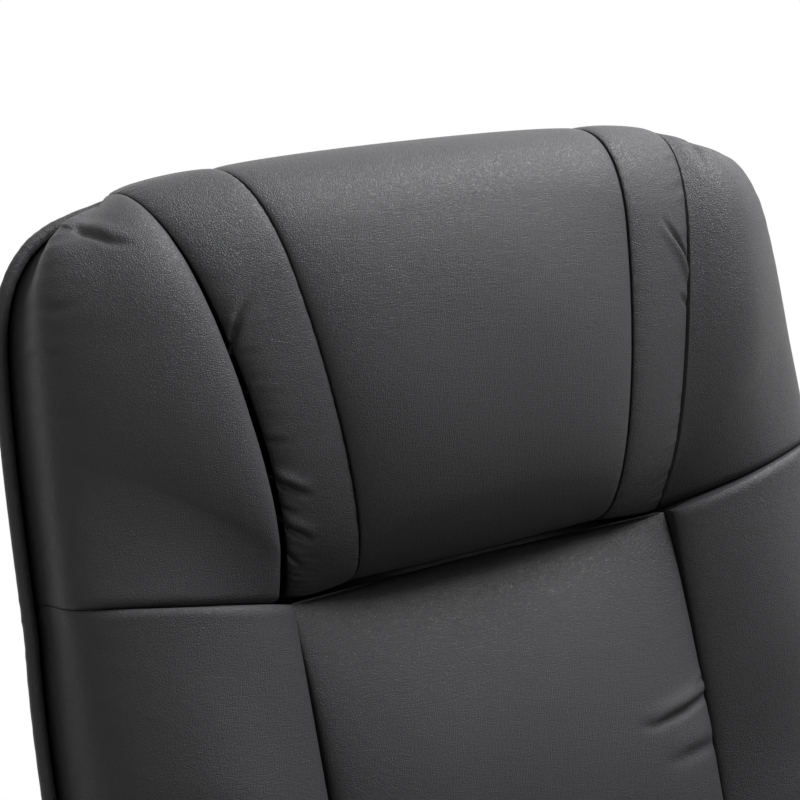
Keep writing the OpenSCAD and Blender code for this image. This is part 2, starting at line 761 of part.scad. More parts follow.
// Height of a side panel's front at a share s of its way from its seam to the welt
function side_w(s, w0, crown) =
  let (
    edge = -(cushion_back - cushion_edge),
    top = mix(w0, wing_shoulder, s) + crown * swell(2 * s - 1, 2.2)
  )
  mix(edge, max(top, edge), swell(s, 8));
// The panel's edge turns back beside the welt and ends in a lip that lies against it
function side_ring(p, t, w0, crown, gap) =
  let (
    q = outline(t) - [cushion_edge, head_v], k = pow(welt_out(t), 4),
    lip = outline_in(t, cushion_edge - lip_reach * k) - [0, head_v]
  )
  concat(
    [for (i = [0:wing_cols])
      let (s = ease(i / wing_cols), u = mix(q[0], p[0], s), h = mix(q[1], p[1], s))
      back_pt(u, h + gap, side_w(1 - s, w0, crown))],
    [back_pt(p[0], p[2] + gap, -cushion_back)],
    [back_pt(q[0] - 2 * lip_reach, q[1] + gap, -cushion_back)],
    [back_pt(lip[0], lip[1] + gap, -cushion_back - (soft_gap + welt_d / 2) * k)]
  );
module wing(side) {
  color("#1b1b1d") on_back() on_side(side) loft([for (t = head_ts)
    let (
      o = head_outer(t), u = roll_u(o[0]) + seam_gap / 2, rise = swell(1 - min(1, 4 * t + 0.12), 2),
      w0 = seam_w(o[1] - valley * (1 - t) * (1 - rise)), crown = wing_crown * rise * (1 - 0.6 * t)
    )
    side_ring([u, o[0], head_rear_h(t)], mix(cross_seam_share, shoulder_share, t),
      w0, crown, seam_gap / 2 * (1 - t))]);
}
module side_panel(side) {
  color("#1b1b1d") on_back() on_side(side) loft([for (k = [0:low_rings])
    let (
      t = ease(k / low_rings), h = mix(back_start - head_v, 0, t), rise = swell(2 * t - 1, 6)
    )
    side_ring([lumbar_w / 2 + seam_gap / 2, h, h], mix(1, cross_seam_share, t),
      lumbar_seam_w - valley * (1 - rise), wing_crown * rise, -seam_gap / 2)]);
}
module lumbar_cushion() {
  u = lumbar_w / 2 - seam_gap / 2;
  color("#1b1b1d") on_back() loft([for (k = [0:low_rings])
    let (
      t = ease(k / low_rings), h = mix(back_start - head_v, -seam_gap / 2, t),
      rise = swell(2 * t - 1, 6), w0 = lumbar_seam_w - (1 - rise) * 1.3 * valley,
      bow = lumbar_bow * sin(180 * pow(1 - t, 0.8))
    )
    concat(
      [for (i = [0:panel_cols])
        let (s = cos(180 * i / panel_cols))
        back_pt(u * s, h, w0 + (lumbar_crown + bow) * rise * swell(s, 2.4))],
      [back_pt(-u, h, -cushion_back), back_pt(u, h, -cushion_back)]
    )]);
}
// The rear cover narrows from the welt's middle line to its rounded rear, less so at its foot
foot_taper_share = 0.4;
taper_power = 1.4;
cover_steps = 3;
function cover_ring(inset, taper) = both_sides([for (t = outline_ts)
  outline_in(t, welt_inset(t) + inset + taper * mix(1, foot_taper_share, pow(t, 6)))]);
module cover_form(wall, front) {
  round_r = 4 * cover_t;
  side_d = cover_d - round_r;
  lean = atan2(cover_taper, side_d);
  side = [for (k = [cover_steps - 1:-1:0])
    let (s = k / cover_steps)
    [cover_taper * pow(s, taper_power), cover_front + side_d * s - (k == 0 ? front : wall)]];
  rear = [for (k = [cover_steps:-1:0])
    let (a = mix(lean, 90, k / cover_steps))
    [cover_taper + round_r * (cos(lean) - cos(a)), cover_rear - round_r * (1 - sin(a)) - wall]];
  loft([for (r = concat(rear, side)) [for (p = cover_ring(wall, r[0])) [p[0], r[1] - seam_off, p[1]]]]);
}
// The cover is open at its front, and below where the stiles go in
module rear_cover() {
  opening = stile_x + stile_w + move_gap;
  color("#1d1d1f") on_back() difference() {
    cover_form(0, 0);
    cover_form(cover_t, cut);
    translate([-opening, cover_front - cut - seam_off, back_start - 2 * cover_t])
      cube([2 * opening, cover_d - cover_t + cut, 4 * cover_t]);
  }
}
module back_welt() {
  sides = 8;
  count = len(outline_ts) - 1;
  middle = cushion_back + soft_gap + welt_d / 2 - seam_off;
  color("#141416") on_back() loft([for (k = [-count:count])
    let (
      side = k < 0 ? -1 : 1, t = abs(k) / count, p = outline_in(t, welt_inset(t)),
      n = p - outline_in(t, welt_inset(t) + 1)
    )
    [for (j = [0:sides - 1])
      let (a = 360 * j / sides, e = p + n * cos(a) * welt_d / 2)
      [side * e[0], middle + sin(a) * welt_d / 2, e[1]]]]);
}
bracket_top_share = 0.25;
bracket_bolt_shares = [0.155, 0.215];
stile_mid = stile_front + stile_d / 2 - seam_off;
module bracket_bolt_holes(d) {
  for (s = bracket_bolt_shares) hole([-stile_mid, s * back_l], d);
}
module back_brackets() {
  color("#2b2c2e") on_back() pair() side_view(bracket_x, hinge_t) difference() {
    union() {
      bar([0, 0], [0, back_start], wheel_d / 2);
      bar([-stile_mid, back_start], [-stile_mid, bracket_top_share * back_l], stile_d - 2 * fit);
    }
    hole([0, 0], hinge_bolt_d + 2 * fit);
    bracket_bolt_holes(bolt_d + 2 * fit);
  }
}
module bracket_bolts() {
  from = bracket_x - bolt_head_t;
  color("#8d8f92") on_back() pair() {
    side_view(from, bolt_head_t + hinge_t + stile_w) bracket_bolt_holes(bolt_d);
    side_view(from, bolt_head_t) for (s = bracket_bolt_shares)
      translate([-stile_mid, s * back_l]) circle(d = bolt_head_d, $fn = 6);
  }
}
// The lowest rail ends at the brackets, and the others at the stiles
stile_top_share = 0.9;
frame_rail_shares = [[0.064, 0.13], [0.5, 0.57], [0.86, 0.925]];
module back_frame() {
  color("#c9a574") on_back() difference() {
    translate([0, stile_rear - seam_off, 0]) rotate([90, 0, 0]) linear_extrude(stile_d) intersection() {
      polygon(outline_ring(4 * cover_t));
      union() {
        for (x = [stile_x, -stile_x - stile_w])
          translate([x, back_start]) square([stile_w, (stile_top_share * back_l) - back_start]);
        for (r = frame_rail_shares) {
          end = r[0] < bracket_top_share ? bracket_x - fit : stile_x + fit;
          translate([-end, r[0] * back_l]) square([2 * end, (r[1] - r[0]) * back_l]);
        }
      }
    }
    pair() side_view(stile_x - cut, stile_w + 2 * cut) bracket_bolt_holes(bolt_d + 2 * fit);
  }
}
spring_shares = [0.2, 0.29, 0.38, 0.63, 0.74];
back_wave_share = 0.04;
module back_springs() {
  span = 2 * (stile_x + stile_w / 2);
  color("#77797c") on_back() for (s = spring_shares)
    translate([-span / 2, spring_front + wire_t - seam_off, s * back_l]) rotate([90, 0, 0])
      linear_extrude(wire_t) zigzag(span, spring_waves, back_wave_share * back_w, wire_t);
}

// The footrest mechanism
module mechanism_plate(side) {
  high = frame_mid - link_w / 4;
  color("#2b2c2e") on_side(side) side_view(plate_x, plate_t) difference() {
    union() {
      bar([shaft_pin[0], high], [fold_pin[0] + plate_reach, high], 2 * plate_lap);
      bar(shaft_pin, [shaft_pin[0], high], 2 * plate_lap);
      bar(fold_pin, [fold_pin[0], high], 2 * plate_lap);
      bar(fold_pin, rear_pin, 1.6 * link_w);
    }
    hole(shaft_pin, shaft_d + 2 * shaft_bush_t + 2 * fit);
    hole(fold_pin, link_pin_d + 2 * fit);
    hole(rear_pin, link_pin_d + 2 * fit);
  }
}
module frame_pins() {
  color("#b7b9bc") pair() {
    link_pin(fold_pin, plane_x(3), rail_x - plane_x(3), link_pin_d);
    side_view(plane_x(2) - link_gap + soft_gap, plate_x - plane_x(2) + link_gap - soft_gap)
      hole(fold_pin, sleeve_d);
    link_pin(rear_pin, plane_x(1), rail_x - plane_x(1), link_pin_d);
  }
}
module shaft_bushes() {
  d = shaft_d + 2 * shaft_bush_t;
  color("#e8e6df") pair() side_view(plate_x - link_gap + soft_gap, plate_t + 2 * (link_gap - soft_gap))
    difference() {
      hole(shaft_pin, d);
      hole(shaft_pin, shaft_d + 2 * fit);
    }
}
module lever_shaft() {
  left = rail_x + 2 * link_gap;
  right = -(arm_x + arm_w + bezel_t + lever_x);
  color("#a9abae") {
    side_view(right, left - right) hole(shaft_pin, shaft_d);
    pair() {
      side_view(plane_x(3), link_t) eye_bar(shaft_pin, crank_pin, link_w);
      side_view(plane_x(4), link_t + link_gap) hole(crank_pin, link_pin_d);
      side_view(plane_x(4) - pin_head_t, pin_head_t) hole(crank_pin, pin_head_d);
    }
  }
}
module drive_rods() {
  color("#3a3b3e") pair() side_view(plane_x(4), link_t) difference() {
    eye_bar(crank_pin, elbow_pin, 0.9 * link_w);
    hole(crank_pin, link_pin_d + 2 * fit);
    hole(elbow_pin, link_pin_d + 2 * fit);
  }
}
module long_links() {
  tube = fold_pin + cross_tube_share * link_l * toward(long_angle);
  color("#3a3b3e") {
    pair() side_view(plane_x(3), link_t) difference() {
      union() {
        eye_bar(fold_pin, knee_pin, link_w);
        eye_bar(fold_pin, elbow_pin, link_w);
      }
      hole(fold_pin, link_pin_d + 2 * fit);
      for (p = [knee_pin, mid_pin, elbow_pin]) hole(p, link_pin_d + 2 * fit);
    }
    side_view(fit - plane_x(3), 2 * (plane_x(3) - fit)) hole(tube, cross_tube_d);
  }
}
module long_link_pins() {
  color("#b7b9bc") pair() {
    link_pin(knee_pin, plane_x(3), link_gap + 2 * link_t, link_pin_d);
    link_pin(mid_pin, plane_x(4), link_gap + 2 * link_t, link_pin_d);
    link_pin(elbow_pin, plane_x(4), link_gap + 2 * link_t, link_pin_d);
  }
}
module outer_links() {
  color("#3a3b3e") pair() side_view(plane_x(2), link_t) difference() {
    union() {
      eye_bar(knee_pin, foot_pin, link_w);
      eye_bar(knee_pin, tail_pin, link_w);
    }
    for (p = [knee_pin, foot_pin]) hole(p, link_pin_d + 2 * fit);
    hole(tail_pin, open_pin_d + 2 * fit);
  }
}
module outer_link_pins() {
  color("#b7b9bc") pair() {
    link_pin(foot_pin, plane_x(3), link_gap + 2 * link_t, link_pin_d);
    link_pin(tail_pin, plane_x(2), link_gap + 2 * link_t, open_pin_d);
  }
}
module rear_control_links() {
  color("#3a3b3e") pair() side_view(plane_x(1), link_t) difference() {
    eye_bar(rear_pin, tail_pin, link_w);
    hole(rear_pin, link_pin_d + 2 * fit);
    hole(tail_pin, open_pin_d + 2 * open_play);
  }
}
module front_control_links() {
  color("#3a3b3e") pair() side_view(plane_x(4), link_t) difference() {
    eye_bar(mid_pin, pad_pin, 0.9 * link_w);
    for (p = [mid_pin, pad_pin]) hole(p, link_pin_d + 2 * fit);
  }
}
screw_shares = [0.2, 0.8];
module footrest_brackets() {
  low = foot_pin[1] - link_w;
  high = pad_pin[1] + link_w / 2;
  color("#2b2c2e") pair() {
    side_view(plane_x(3), link_t) difference() {
      union() {
        eye_bar(foot_pin, pad_pin, link_w);
        translate([foot_pin[0], foot_pin[1] - link_w / 2])
          square([bracket_reach, pad_pin[1] - foot_pin[1] + link_w / 2]);
      }
      for (p = [foot_pin, pad_pin]) hole(p, link_pin_d + 2 * fit);
    }
    translate([plane_x(3) - 2 * link_w, -board_f, low]) difference() {
      cube([2 * link_w, bracket_t, high - low]);
      for (z = screw_shares) translate([link_w, -cut, z * (high - low)])
        rotate([-90, 0, 0]) cylinder(d = open_pin_d, h = bracket_t + 2 * cut);
    }
  }
}
module bracket_pins() {
  color("#b7b9bc") pair() link_pin(pad_pin, plane_x(4), link_gap + 2 * link_t, link_pin_d);
}
module footrest_board() {
  w = foot_w - 2 * board_inset;
  color("#c9a574") translate([-w / 2, -board_f - board_t, foot_bottom + board_inset])
    cube([w, board_t, foot_h - 2 * board_inset]);
}
// The footrest pad: its width in shares, each with a share of its section
foot_half_shares = [0, 0.35, 0.7, 0.88, 0.95, 0.985, 1];
module footrest_pad() {
  around = 20;
  rear = board_f + board_t + soft_gap;
  color("#1b1b1d") loft([for (x = mirrored(foot_half_shares))
    let (k = swell(x * 0.97, 8))
    [for (i = [0:around - 1])
      let (
        a = 360 * i / around,
        up = sign(sin(a)) * pow(abs(sin(a)), 0.5),
        out = cos(a) < 0 ? 0 : pow(cos(a), 0.6),
        z = foot_bottom + foot_h / 2 * (1 + up * mix(0.95, 1, k)),
        f = rear + (foot_t - soft_gap) * (cos(a) < 0 ? 0 : mix(0.25, 1, out) * mix(0.5, 1, k))
      )
      [x * foot_w / 2, -f, z]]]);
}
lever_neck_share = 0.45;
lever_boss_share = 1.4;
lever_bar_share = 0.7;
module lever_handle() {
  from = -(arm_x + arm_w + bezel_t + lever_x + lever_t);
  tip = shaft_pin + lever_l * toward(lever_angle);
  neck = shaft_pin + lever_neck_share * lever_l * toward(lever_angle);
  color("#1a1a1c") difference() {
    union() {
      side_view(from, lever_t) {
        eye_bar(neck, tip, lever_w);
        hole(shaft_pin, lever_boss_share * lever_w);
      }
      side_view(from + lever_t / 4, lever_t / 2) eye_bar(shaft_pin, tip, lever_bar_share * lever_w);
    }
    side_view(from - cut, lever_t + 2 * cut) hole(shaft_pin, shaft_d + 2 * fit);
  }
}
module lever_bezel() {
  color("#2a2a2c") side_view(-(arm_x + arm_w + bezel_t), bezel_t - soft_gap) difference() {
    hole(shaft_pin, bezel_d);
    hole(shaft_pin, shaft_d + 2 * fit);
  }
}

floor_pad();
base_plate();
base_weight();
base_nut();
base_column();
column_bushes();
thrust_bearing();
column_collar();
swivel_spindle();
swivel_plate();
seat_bearers();
plate_bolts();
seat_frame();
seat_springs();
seat_apron();
seat_cushion();
mechanism_plate(1);  // mechanism_plate_left
mechanism_plate(-1);  // mechanism_plate_right
frame_pins();
shaft_bushes();
hinge_plates();
hinge_bolts();
recline_wheel(1);  // recline_wheel_left
recline_wheel(-1);  // recline_wheel_right
arm_frame(1);  // arm_frame_left
arm_frame(-1);  // arm_frame_right
arm_cover(1);  // arm_cover_left
arm_cover(-1);  // arm_cover_right
arm_pad(1);  // arm_pad_left
arm_pad(-1);  // arm_pad_right
arm_bolts();
lever_bezel();
back_brackets();
bracket_bolts();
back_frame();
back_springs();
rear_cover();
back_welt();
head_cushion();
head_bolster(1);  // head_bolster_left
head_bolster(-1);  // head_bolster_right
wing(1);  // wing_left
wing(-1);  // wing_right
side_panel(1);  // side_panel_left
side_panel(-1);  // side_panel_right
lumbar_cushion();
lever_shaft();
lever_handle();
drive_rods();
long_links();
long_link_pins();
outer_links();
outer_link_pins();
rear_control_links();
front_control_links();
footrest_brackets();
bracket_pins();
footrest_board();
footrest_pad();
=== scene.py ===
# %% [markdown]
# # A swivel recliner with a fold-out footrest
# The imported CAD model is the frame: every rigid part is already in its place.
# This lesson dresses it. The cushions are the heart of the object, so most cells are about leather:
# how a panel swells between its seams, where it gathers, and how fine grain catches the light.

# %% Load the frame
import json
import math

import bmesh
import bpy
import numpy as np
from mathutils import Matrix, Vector


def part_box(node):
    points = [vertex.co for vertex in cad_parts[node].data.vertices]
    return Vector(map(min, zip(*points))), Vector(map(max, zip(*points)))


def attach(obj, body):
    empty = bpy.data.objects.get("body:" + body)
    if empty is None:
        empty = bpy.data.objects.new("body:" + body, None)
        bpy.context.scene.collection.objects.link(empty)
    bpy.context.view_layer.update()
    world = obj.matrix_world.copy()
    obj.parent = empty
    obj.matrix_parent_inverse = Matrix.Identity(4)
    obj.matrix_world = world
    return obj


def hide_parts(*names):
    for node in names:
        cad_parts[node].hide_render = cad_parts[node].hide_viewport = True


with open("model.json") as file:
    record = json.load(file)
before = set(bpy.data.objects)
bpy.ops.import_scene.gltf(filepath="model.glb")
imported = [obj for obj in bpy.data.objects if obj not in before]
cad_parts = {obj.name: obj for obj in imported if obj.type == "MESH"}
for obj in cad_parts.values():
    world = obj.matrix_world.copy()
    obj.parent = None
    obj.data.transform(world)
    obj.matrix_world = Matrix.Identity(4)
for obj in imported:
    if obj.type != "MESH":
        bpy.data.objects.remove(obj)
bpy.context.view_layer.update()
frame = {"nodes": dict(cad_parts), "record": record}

nodes = frame["nodes"]
slot_of = {part["node"]: part["material_slot"] for part in frame["record"]["subparts"]}

# %% [markdown]
# ## The camera
# The photograph looks down on the upper back from the sitter's right. Aimed by eye, every seam
# would lie a little off, so the camera's place comes from fitting the seams that mirror each
# other. A 90 mm lens on a 36 mm sensor has the picture's narrow view, which keeps the head
# roll's proportions.

# %% Camera
scene = bpy.context.scene
scene.view_settings.view_transform = "Standard"
lens = bpy.data.cameras.new("camera")
lens.lens = 90
lens.sensor_width = 36
camera = bpy.data.objects.new("camera", lens)
scene.collection.objects.link(camera)
camera.location = (-0.77245, -0.73674, 1.30024)
camera.rotation_mode = "QUATERNION"
camera.rotation_quaternion = Vector((0.53283, 0.79594, -0.28736)).to_track_quat("-Z", "Y")
scene.camera = camera
print("camera at", tuple(round(v, 3) for v in camera.location))

# %% [markdown]
# ## Shader helpers
# A shader is a small graph. It could be wired by hand in the shader editor, but helpers keep the
# cells short and every number in sight: one adds a node and sets its sockets, one starts a node
# group with named inputs and outputs, and the others do a sum, a noise and a stretch.

# %% Shader helpers
def add(tree, kind, sockets=None, **settings):
    made = tree.nodes.new(kind)
    for name, value in settings.items():
        setattr(made, name, value)
    for name, value in (sockets or {}).items():
        if isinstance(value, bpy.types.NodeSocket):
            tree.links.new(value, made.inputs[name])
        else:
            made.inputs[name].default_value = value
    return made


def start_group(name, inputs, outputs):
    tree = bpy.data.node_groups.new(name, "ShaderNodeTree")
    new_socket = tree.interface.new_socket
    new_socket("Vector", in_out="INPUT", socket_type="NodeSocketVector")
    for socket, value in inputs.items():
        new_socket(socket, in_out="INPUT", socket_type="NodeSocketFloat").default_value = value
    for socket in outputs:
        new_socket(socket, in_out="OUTPUT", socket_type="NodeSocketFloat")
    return tree, add(tree, "NodeGroupInput").outputs, add(tree, "NodeGroupOutput").inputs


def maths(tree, operation, a, b=0.5, c=0.5):
    return add(tree, "ShaderNodeMath", {0: a, 1: b, 2: c}, operation=operation).outputs[0]


def noise(tree, vector, scale, detail):
    return add(tree, "ShaderNodeTexNoise", {"Vector": vector, "Scale": scale, "Detail": detail}).outputs[0]


def stretched(tree, vector, by):
    return add(tree, "ShaderNodeVectorMath", {0: vector, 1: by}, operation="MULTIPLY").outputs[0]


# %% [markdown]
# ## Studio
# The photograph has a plain white ground and soft light from the upper right. A white floor under
# strong lamps would bleach the chair too. So the floor is a large pale plane that keeps the
# chair's shadow near it, and further out it turns white for the camera and for mirrors only. It
# throws little light back up, because the photograph's undersides are nearly black.

# %% Studio floor
FLOOR_SIZE, WHITE_FROM, WHITE_TO = 60, 0.55, 1.05
FLOOR_TONE, BOUNCE_LOSS = 0.86, 0.66
bpy.ops.object.select_all(action="DESELECT")
bpy.ops.mesh.primitive_plane_add(size=FLOOR_SIZE)
floor = bpy.context.object
floor.name = "studio_floor"
bpy.ops.object.mode_set(mode="EDIT")
bpy.ops.mesh.subdivide(number_cuts=5)
bpy.ops.object.mode_set(mode="OBJECT")


def seen_directly(tree):
    path = add(tree, "ShaderNodeLightPath").outputs
    seen = maths(tree, "MAXIMUM", path["Is Camera Ray"], path["Is Glossy Ray"])
    return maths(tree, "MAXIMUM", seen, path["Is Transmission Ray"])


pale = bpy.data.materials.new("studio_pale")
pale.use_nodes = True
tree = pale.node_tree
tree.nodes.clear()
place = add(tree, "ShaderNodeTexCoord").outputs["Object"]
away = add(tree, "ShaderNodeVectorMath", {0: place}, operation="LENGTH").outputs["Value"]
far = add(tree, "ShaderNodeMapRange", {"Value": away, "From Min": WHITE_FROM, "From Max": WHITE_TO},
          interpolation_type="SMOOTHSTEP").outputs[0]
bounced = add(tree, "ShaderNodeLightPath").outputs["Is Diffuse Ray"]
tone = maths(tree, "MULTIPLY_ADD", bounced, -BOUNCE_LOSS, FLOOR_TONE)
grey = add(tree, "ShaderNodeCombineColor", {0: tone, 1: tone, 2: tone}).outputs[0]
matt = add(tree, "ShaderNodeBsdfDiffuse", {"Color": grey}).outputs[0]
white = add(tree, "ShaderNodeEmission", {"Color": (1, 1, 1, 1), "Strength": 1.0}).outputs[0]
whiter = maths(tree, "MULTIPLY", far, seen_directly(tree))
blend = add(tree, "ShaderNodeMixShader", {0: whiter, 1: matt, 2: white})
add(tree, "ShaderNodeOutputMaterial", {"Surface": blend.outputs[0]})
floor.data.materials.append(pale)
print("floor", FLOOR_SIZE, "m wide, white from", WHITE_TO, "m out")

# %% Studio light
HORIZON, SKY_LOW, SKY_HIGH = -0.1, 0.02, 0.22
world = bpy.data.worlds.new("studio")
scene.world = world
world.use_nodes = True
tree = world.node_tree
tree.nodes.clear()
toward = add(tree, "ShaderNodeTexCoord").outputs["Generated"]
upward = add(tree, "ShaderNodeSeparateXYZ", {0: toward}).outputs["Z"]
sky = {"Value": upward, "From Min": HORIZON, "To Min": SKY_LOW, "To Max": SKY_HIGH}
dome = add(tree, "ShaderNodeMapRange", sky).outputs[0]
soft = add(tree, "ShaderNodeBackground", {"Color": (1, 1, 1, 1), "Strength": dome}).outputs[0]
plain = add(tree, "ShaderNodeBackground", {"Color": (1, 1, 1, 1), "Strength": 1.0}).outputs[0]
both = add(tree, "ShaderNodeMixShader", {0: seen_directly(tree), 1: soft, 2: plain})
add(tree, "ShaderNodeOutputWorld", {"Surface": both.outputs[0]})


def softbox(name, place, aim, size, power):
    data = bpy.data.lights.new(name, "AREA")
    data.shape = "RECTANGLE"
    data.size, data.size_y = size
    data.energy = power
    lamp = bpy.data.objects.new(name, data)
    scene.collection.objects.link(lamp)
    lamp.location = place
    lamp.rotation_mode = "QUATERNION"
    lamp.rotation_quaternion = (Vector(aim) - Vector(place)).to_track_quat("-Z", "Y")
    print(name, power, "W")


softbox("key_light", place=(1.35, 0.2, 2.85), aim=(0, 0.3, 0.85), size=(1.6, 1.2), power=88)

# %% [markdown]
# ## Leather
# Coated leather has pebbles a millimetre or two across with narrow valleys between them, and a
# few softer dents. Plain noise would look like felt. A Voronoi texture gives the distance to the
# nearest valley, which is the pebble's height. Noise bends the cells first, because a regular net
# looks like a football.

# %% Leather grain group
tree, given, put = start_group("pebble_grain", {"Pebbles": 900.0}, ["Height", "Tone"])
bend = add(tree, "ShaderNodeTexNoise", {"Vector": given["Vector"], "Scale": 420.0, "Detail": 1.0})
bend = add(tree, "ShaderNodeVectorMath", {0: bend.outputs["Color"], 1: (0.5, 0.5, 0.5)},
           operation="SUBTRACT")
bend = add(tree, "ShaderNodeVectorMath", {0: bend.outputs[0], "Scale": 0.0018}, operation="SCALE")
bent = add(tree, "ShaderNodeVectorMath", {0: given["Vector"], 1: bend.outputs[0]},
           operation="ADD").outputs[0]
cells = add(tree, "ShaderNodeTexVoronoi", {"Vector": bent, "Scale": given["Pebbles"]},
            feature="DISTANCE_TO_EDGE").outputs["Distance"]
pebble = add(tree, "ShaderNodeMapRange", {"Value": cells, "From Max": 0.3},
             interpolation_type="SMOOTHSTEP").outputs[0]
pores = noise(tree, given["Vector"], 2600.0, 2.0)
dents = noise(tree, given["Vector"], 190.0, 3.0)
cloud = noise(tree, given["Vector"], 9.0, 3.0)
height = maths(tree, "MULTIPLY_ADD", pebble, 0.55, maths(tree, "MULTIPLY", pores, 0.25))
height = maths(tree, "MULTIPLY_ADD", dents, 0.8, height)
tone = maths(tree, "MULTIPLY_ADD", cloud, 0.6, maths(tree, "MULTIPLY", pebble, 0.4))
tree.links.new(height, put["Height"])
tree.links.new(tone, put["Tone"])
grain_group = tree
print("pebble grain:", len(tree.nodes), "nodes")


# %% Finish helper
COLOUR_A, COLOUR_B, MIXED = 6, 7, 2
finishes = {}


def make_finish(slot, name, group, mask, colour, rough, tones, roughs, depth,
                metallic=0.0, specular=0.5, **scales):
    """a plain colour and roughness, which the group's mask varies and its height makes uneven"""
    made = bpy.data.materials.new(name)
    made.use_nodes = True
    made.diffuse_color = (*colour, 1)
    tree = made.node_tree
    surface = tree.nodes["Principled BSDF"].inputs
    surface["Base Color"].default_value = (*colour, 1)
    surface["Roughness"].default_value = rough
    surface["Metallic"].default_value = metallic
    surface["Specular IOR Level"].default_value = specular
    place = add(tree, "ShaderNodeTexCoord").outputs["Object"]
    mark = add(tree, "ShaderNodeGroup", {"Vector": place, **scales}, node_tree=group).outputs
    dark, light = ((*shade, 1) for shade in tones)
    tint = add(tree, "ShaderNodeMix", {0: mark[mask], COLOUR_A: dark, COLOUR_B: light},
               data_type="RGBA")
    tree.links.new(tint.outputs[MIXED], surface["Base Color"])
    low, high = roughs
    vary = add(tree, "ShaderNodeMapRange", {"Value": mark[mask], "To Min": low, "To Max": high})
    tree.links.new(vary.outputs[0], surface["Roughness"])
    if depth:
        bump = add(tree, "ShaderNodeBump", {"Height": mark["Height"], "Distance": depth})
        tree.links.new(bump.outputs[0], surface["Normal"])
    finishes[slot] = made
    print(name, len(tree.nodes), "nodes")


# %% Black leather
make_finish("black_leather", "black_leather", grain_group, "Tone", (0.07, 0.07, 0.0745), 0.44,
            [(0.058, 0.058, 0.0615), (0.082, 0.082, 0.087)], (0.38, 0.48), 0.00034,
            specular=0.24, Pebbles=680.0)
black_leather = finishes["black_leather"]

# %% [markdown]
# ## Hard finishes
# Paint, plating, moulded plastic and timber differ mostly in colour and in how they scatter light.
# Each could have its own graph. Three groups serve them all instead, each with its own scale and
# depth: an even speckle, the lines of drawn wire, and the rings and fibres of planed wood.

# %% Speckle, brushing and timber groups
tree, given, put = start_group("speckle", {"Fine": 900.0, "Coarse": 14.0}, ["Height", "Smudge"])
tree.links.new(noise(tree, given["Vector"], given["Fine"], 3.0), put["Height"])
tree.links.new(noise(tree, given["Vector"], given["Coarse"], 4.0), put["Smudge"])
speckle = tree

tree, given, put = start_group("brushing", {"Along": 6.0, "Across": 900.0}, ["Height", "Streak"])
across, along = given["Across"], given["Along"]
wire = add(tree, "ShaderNodeCombineXYZ", {"X": across, "Y": along, "Z": across}).outputs[0]
lines = noise(tree, stretched(tree, given["Vector"], wire), 1.0, 3.0)
for socket in ("Height", "Streak"):
    tree.links.new(lines, put[socket])
brushing = tree

tree, given, put = start_group("timber_rings", {"Rings": 60.0}, ["Height", "Ring"])
board = stretched(tree, given["Vector"], (0.12, 1.0, 1.0))
axis = add(tree, "ShaderNodeSeparateXYZ", {0: board}).outputs
tilted = maths(tree, "ADD", axis["Z"], maths(tree, "MULTIPLY", axis["Y"], 0.6))
waver = maths(tree, "MULTIPLY", noise(tree, board, 9.0, 3.0), 0.25)
radius = maths(tree, "ADD", tilted, waver)
ring = maths(tree, "FRACT", maths(tree, "MULTIPLY", radius, given["Rings"]))
fibre = noise(tree, stretched(tree, given["Vector"], (14.0, 700.0, 700.0)), 1.0, 2.0)
for socket, a, much, b, little in (("Height", fibre, 0.6, ring, 0.4), ("Ring", ring, 0.7, fibre, 0.3)):
    rest = maths(tree, "MULTIPLY", b, little)
    tree.links.new(maths(tree, "MULTIPLY_ADD", a, much, rest), put[socket])
timber = tree
print("groups:", [group.name for group in (speckle, brushing, timber)])

# %% Metals
make_finish("chrome", "polished_chrome", speckle, "Smudge", (0.72, 0.72, 0.735), 0.08,
            [(0.70, 0.70, 0.72), (0.76, 0.76, 0.77)], (0.035, 0.15), None,
            metallic=1.0, Fine=260.0, Coarse=9.0)
make_finish("zinc", "bright_zinc", speckle, "Smudge", (0.55, 0.56, 0.58), 0.3,
            [(0.44, 0.46, 0.49), (0.62, 0.62, 0.60)], (0.2, 0.42), 0.00003,
            metallic=1.0, Fine=1500.0, Coarse=70.0)
make_finish("black_steel", "black_powder_coat", speckle, "Smudge", (0.02, 0.02, 0.022), 0.5,
            [(0.016, 0.016, 0.018), (0.03, 0.03, 0.032)], (0.42, 0.58), 0.0002,
            Fine=1300.0, Coarse=22.0)
make_finish("cast_weight", "raw_casting", speckle, "Smudge", (0.08, 0.08, 0.085), 0.75,
            [(0.05, 0.048, 0.046), (0.11, 0.105, 0.1)], (0.6, 0.85), 0.0006,
            metallic=0.6, Fine=350.0, Coarse=18.0)
make_finish("spring_steel", "drawn_wire", brushing, "Streak", (0.3, 0.3, 0.31), 0.35,
            [(0.22, 0.22, 0.23), (0.36, 0.36, 0.37)], (0.25, 0.45), 0.00003,
            metallic=1.0, Along=40.0, Across=900.0)

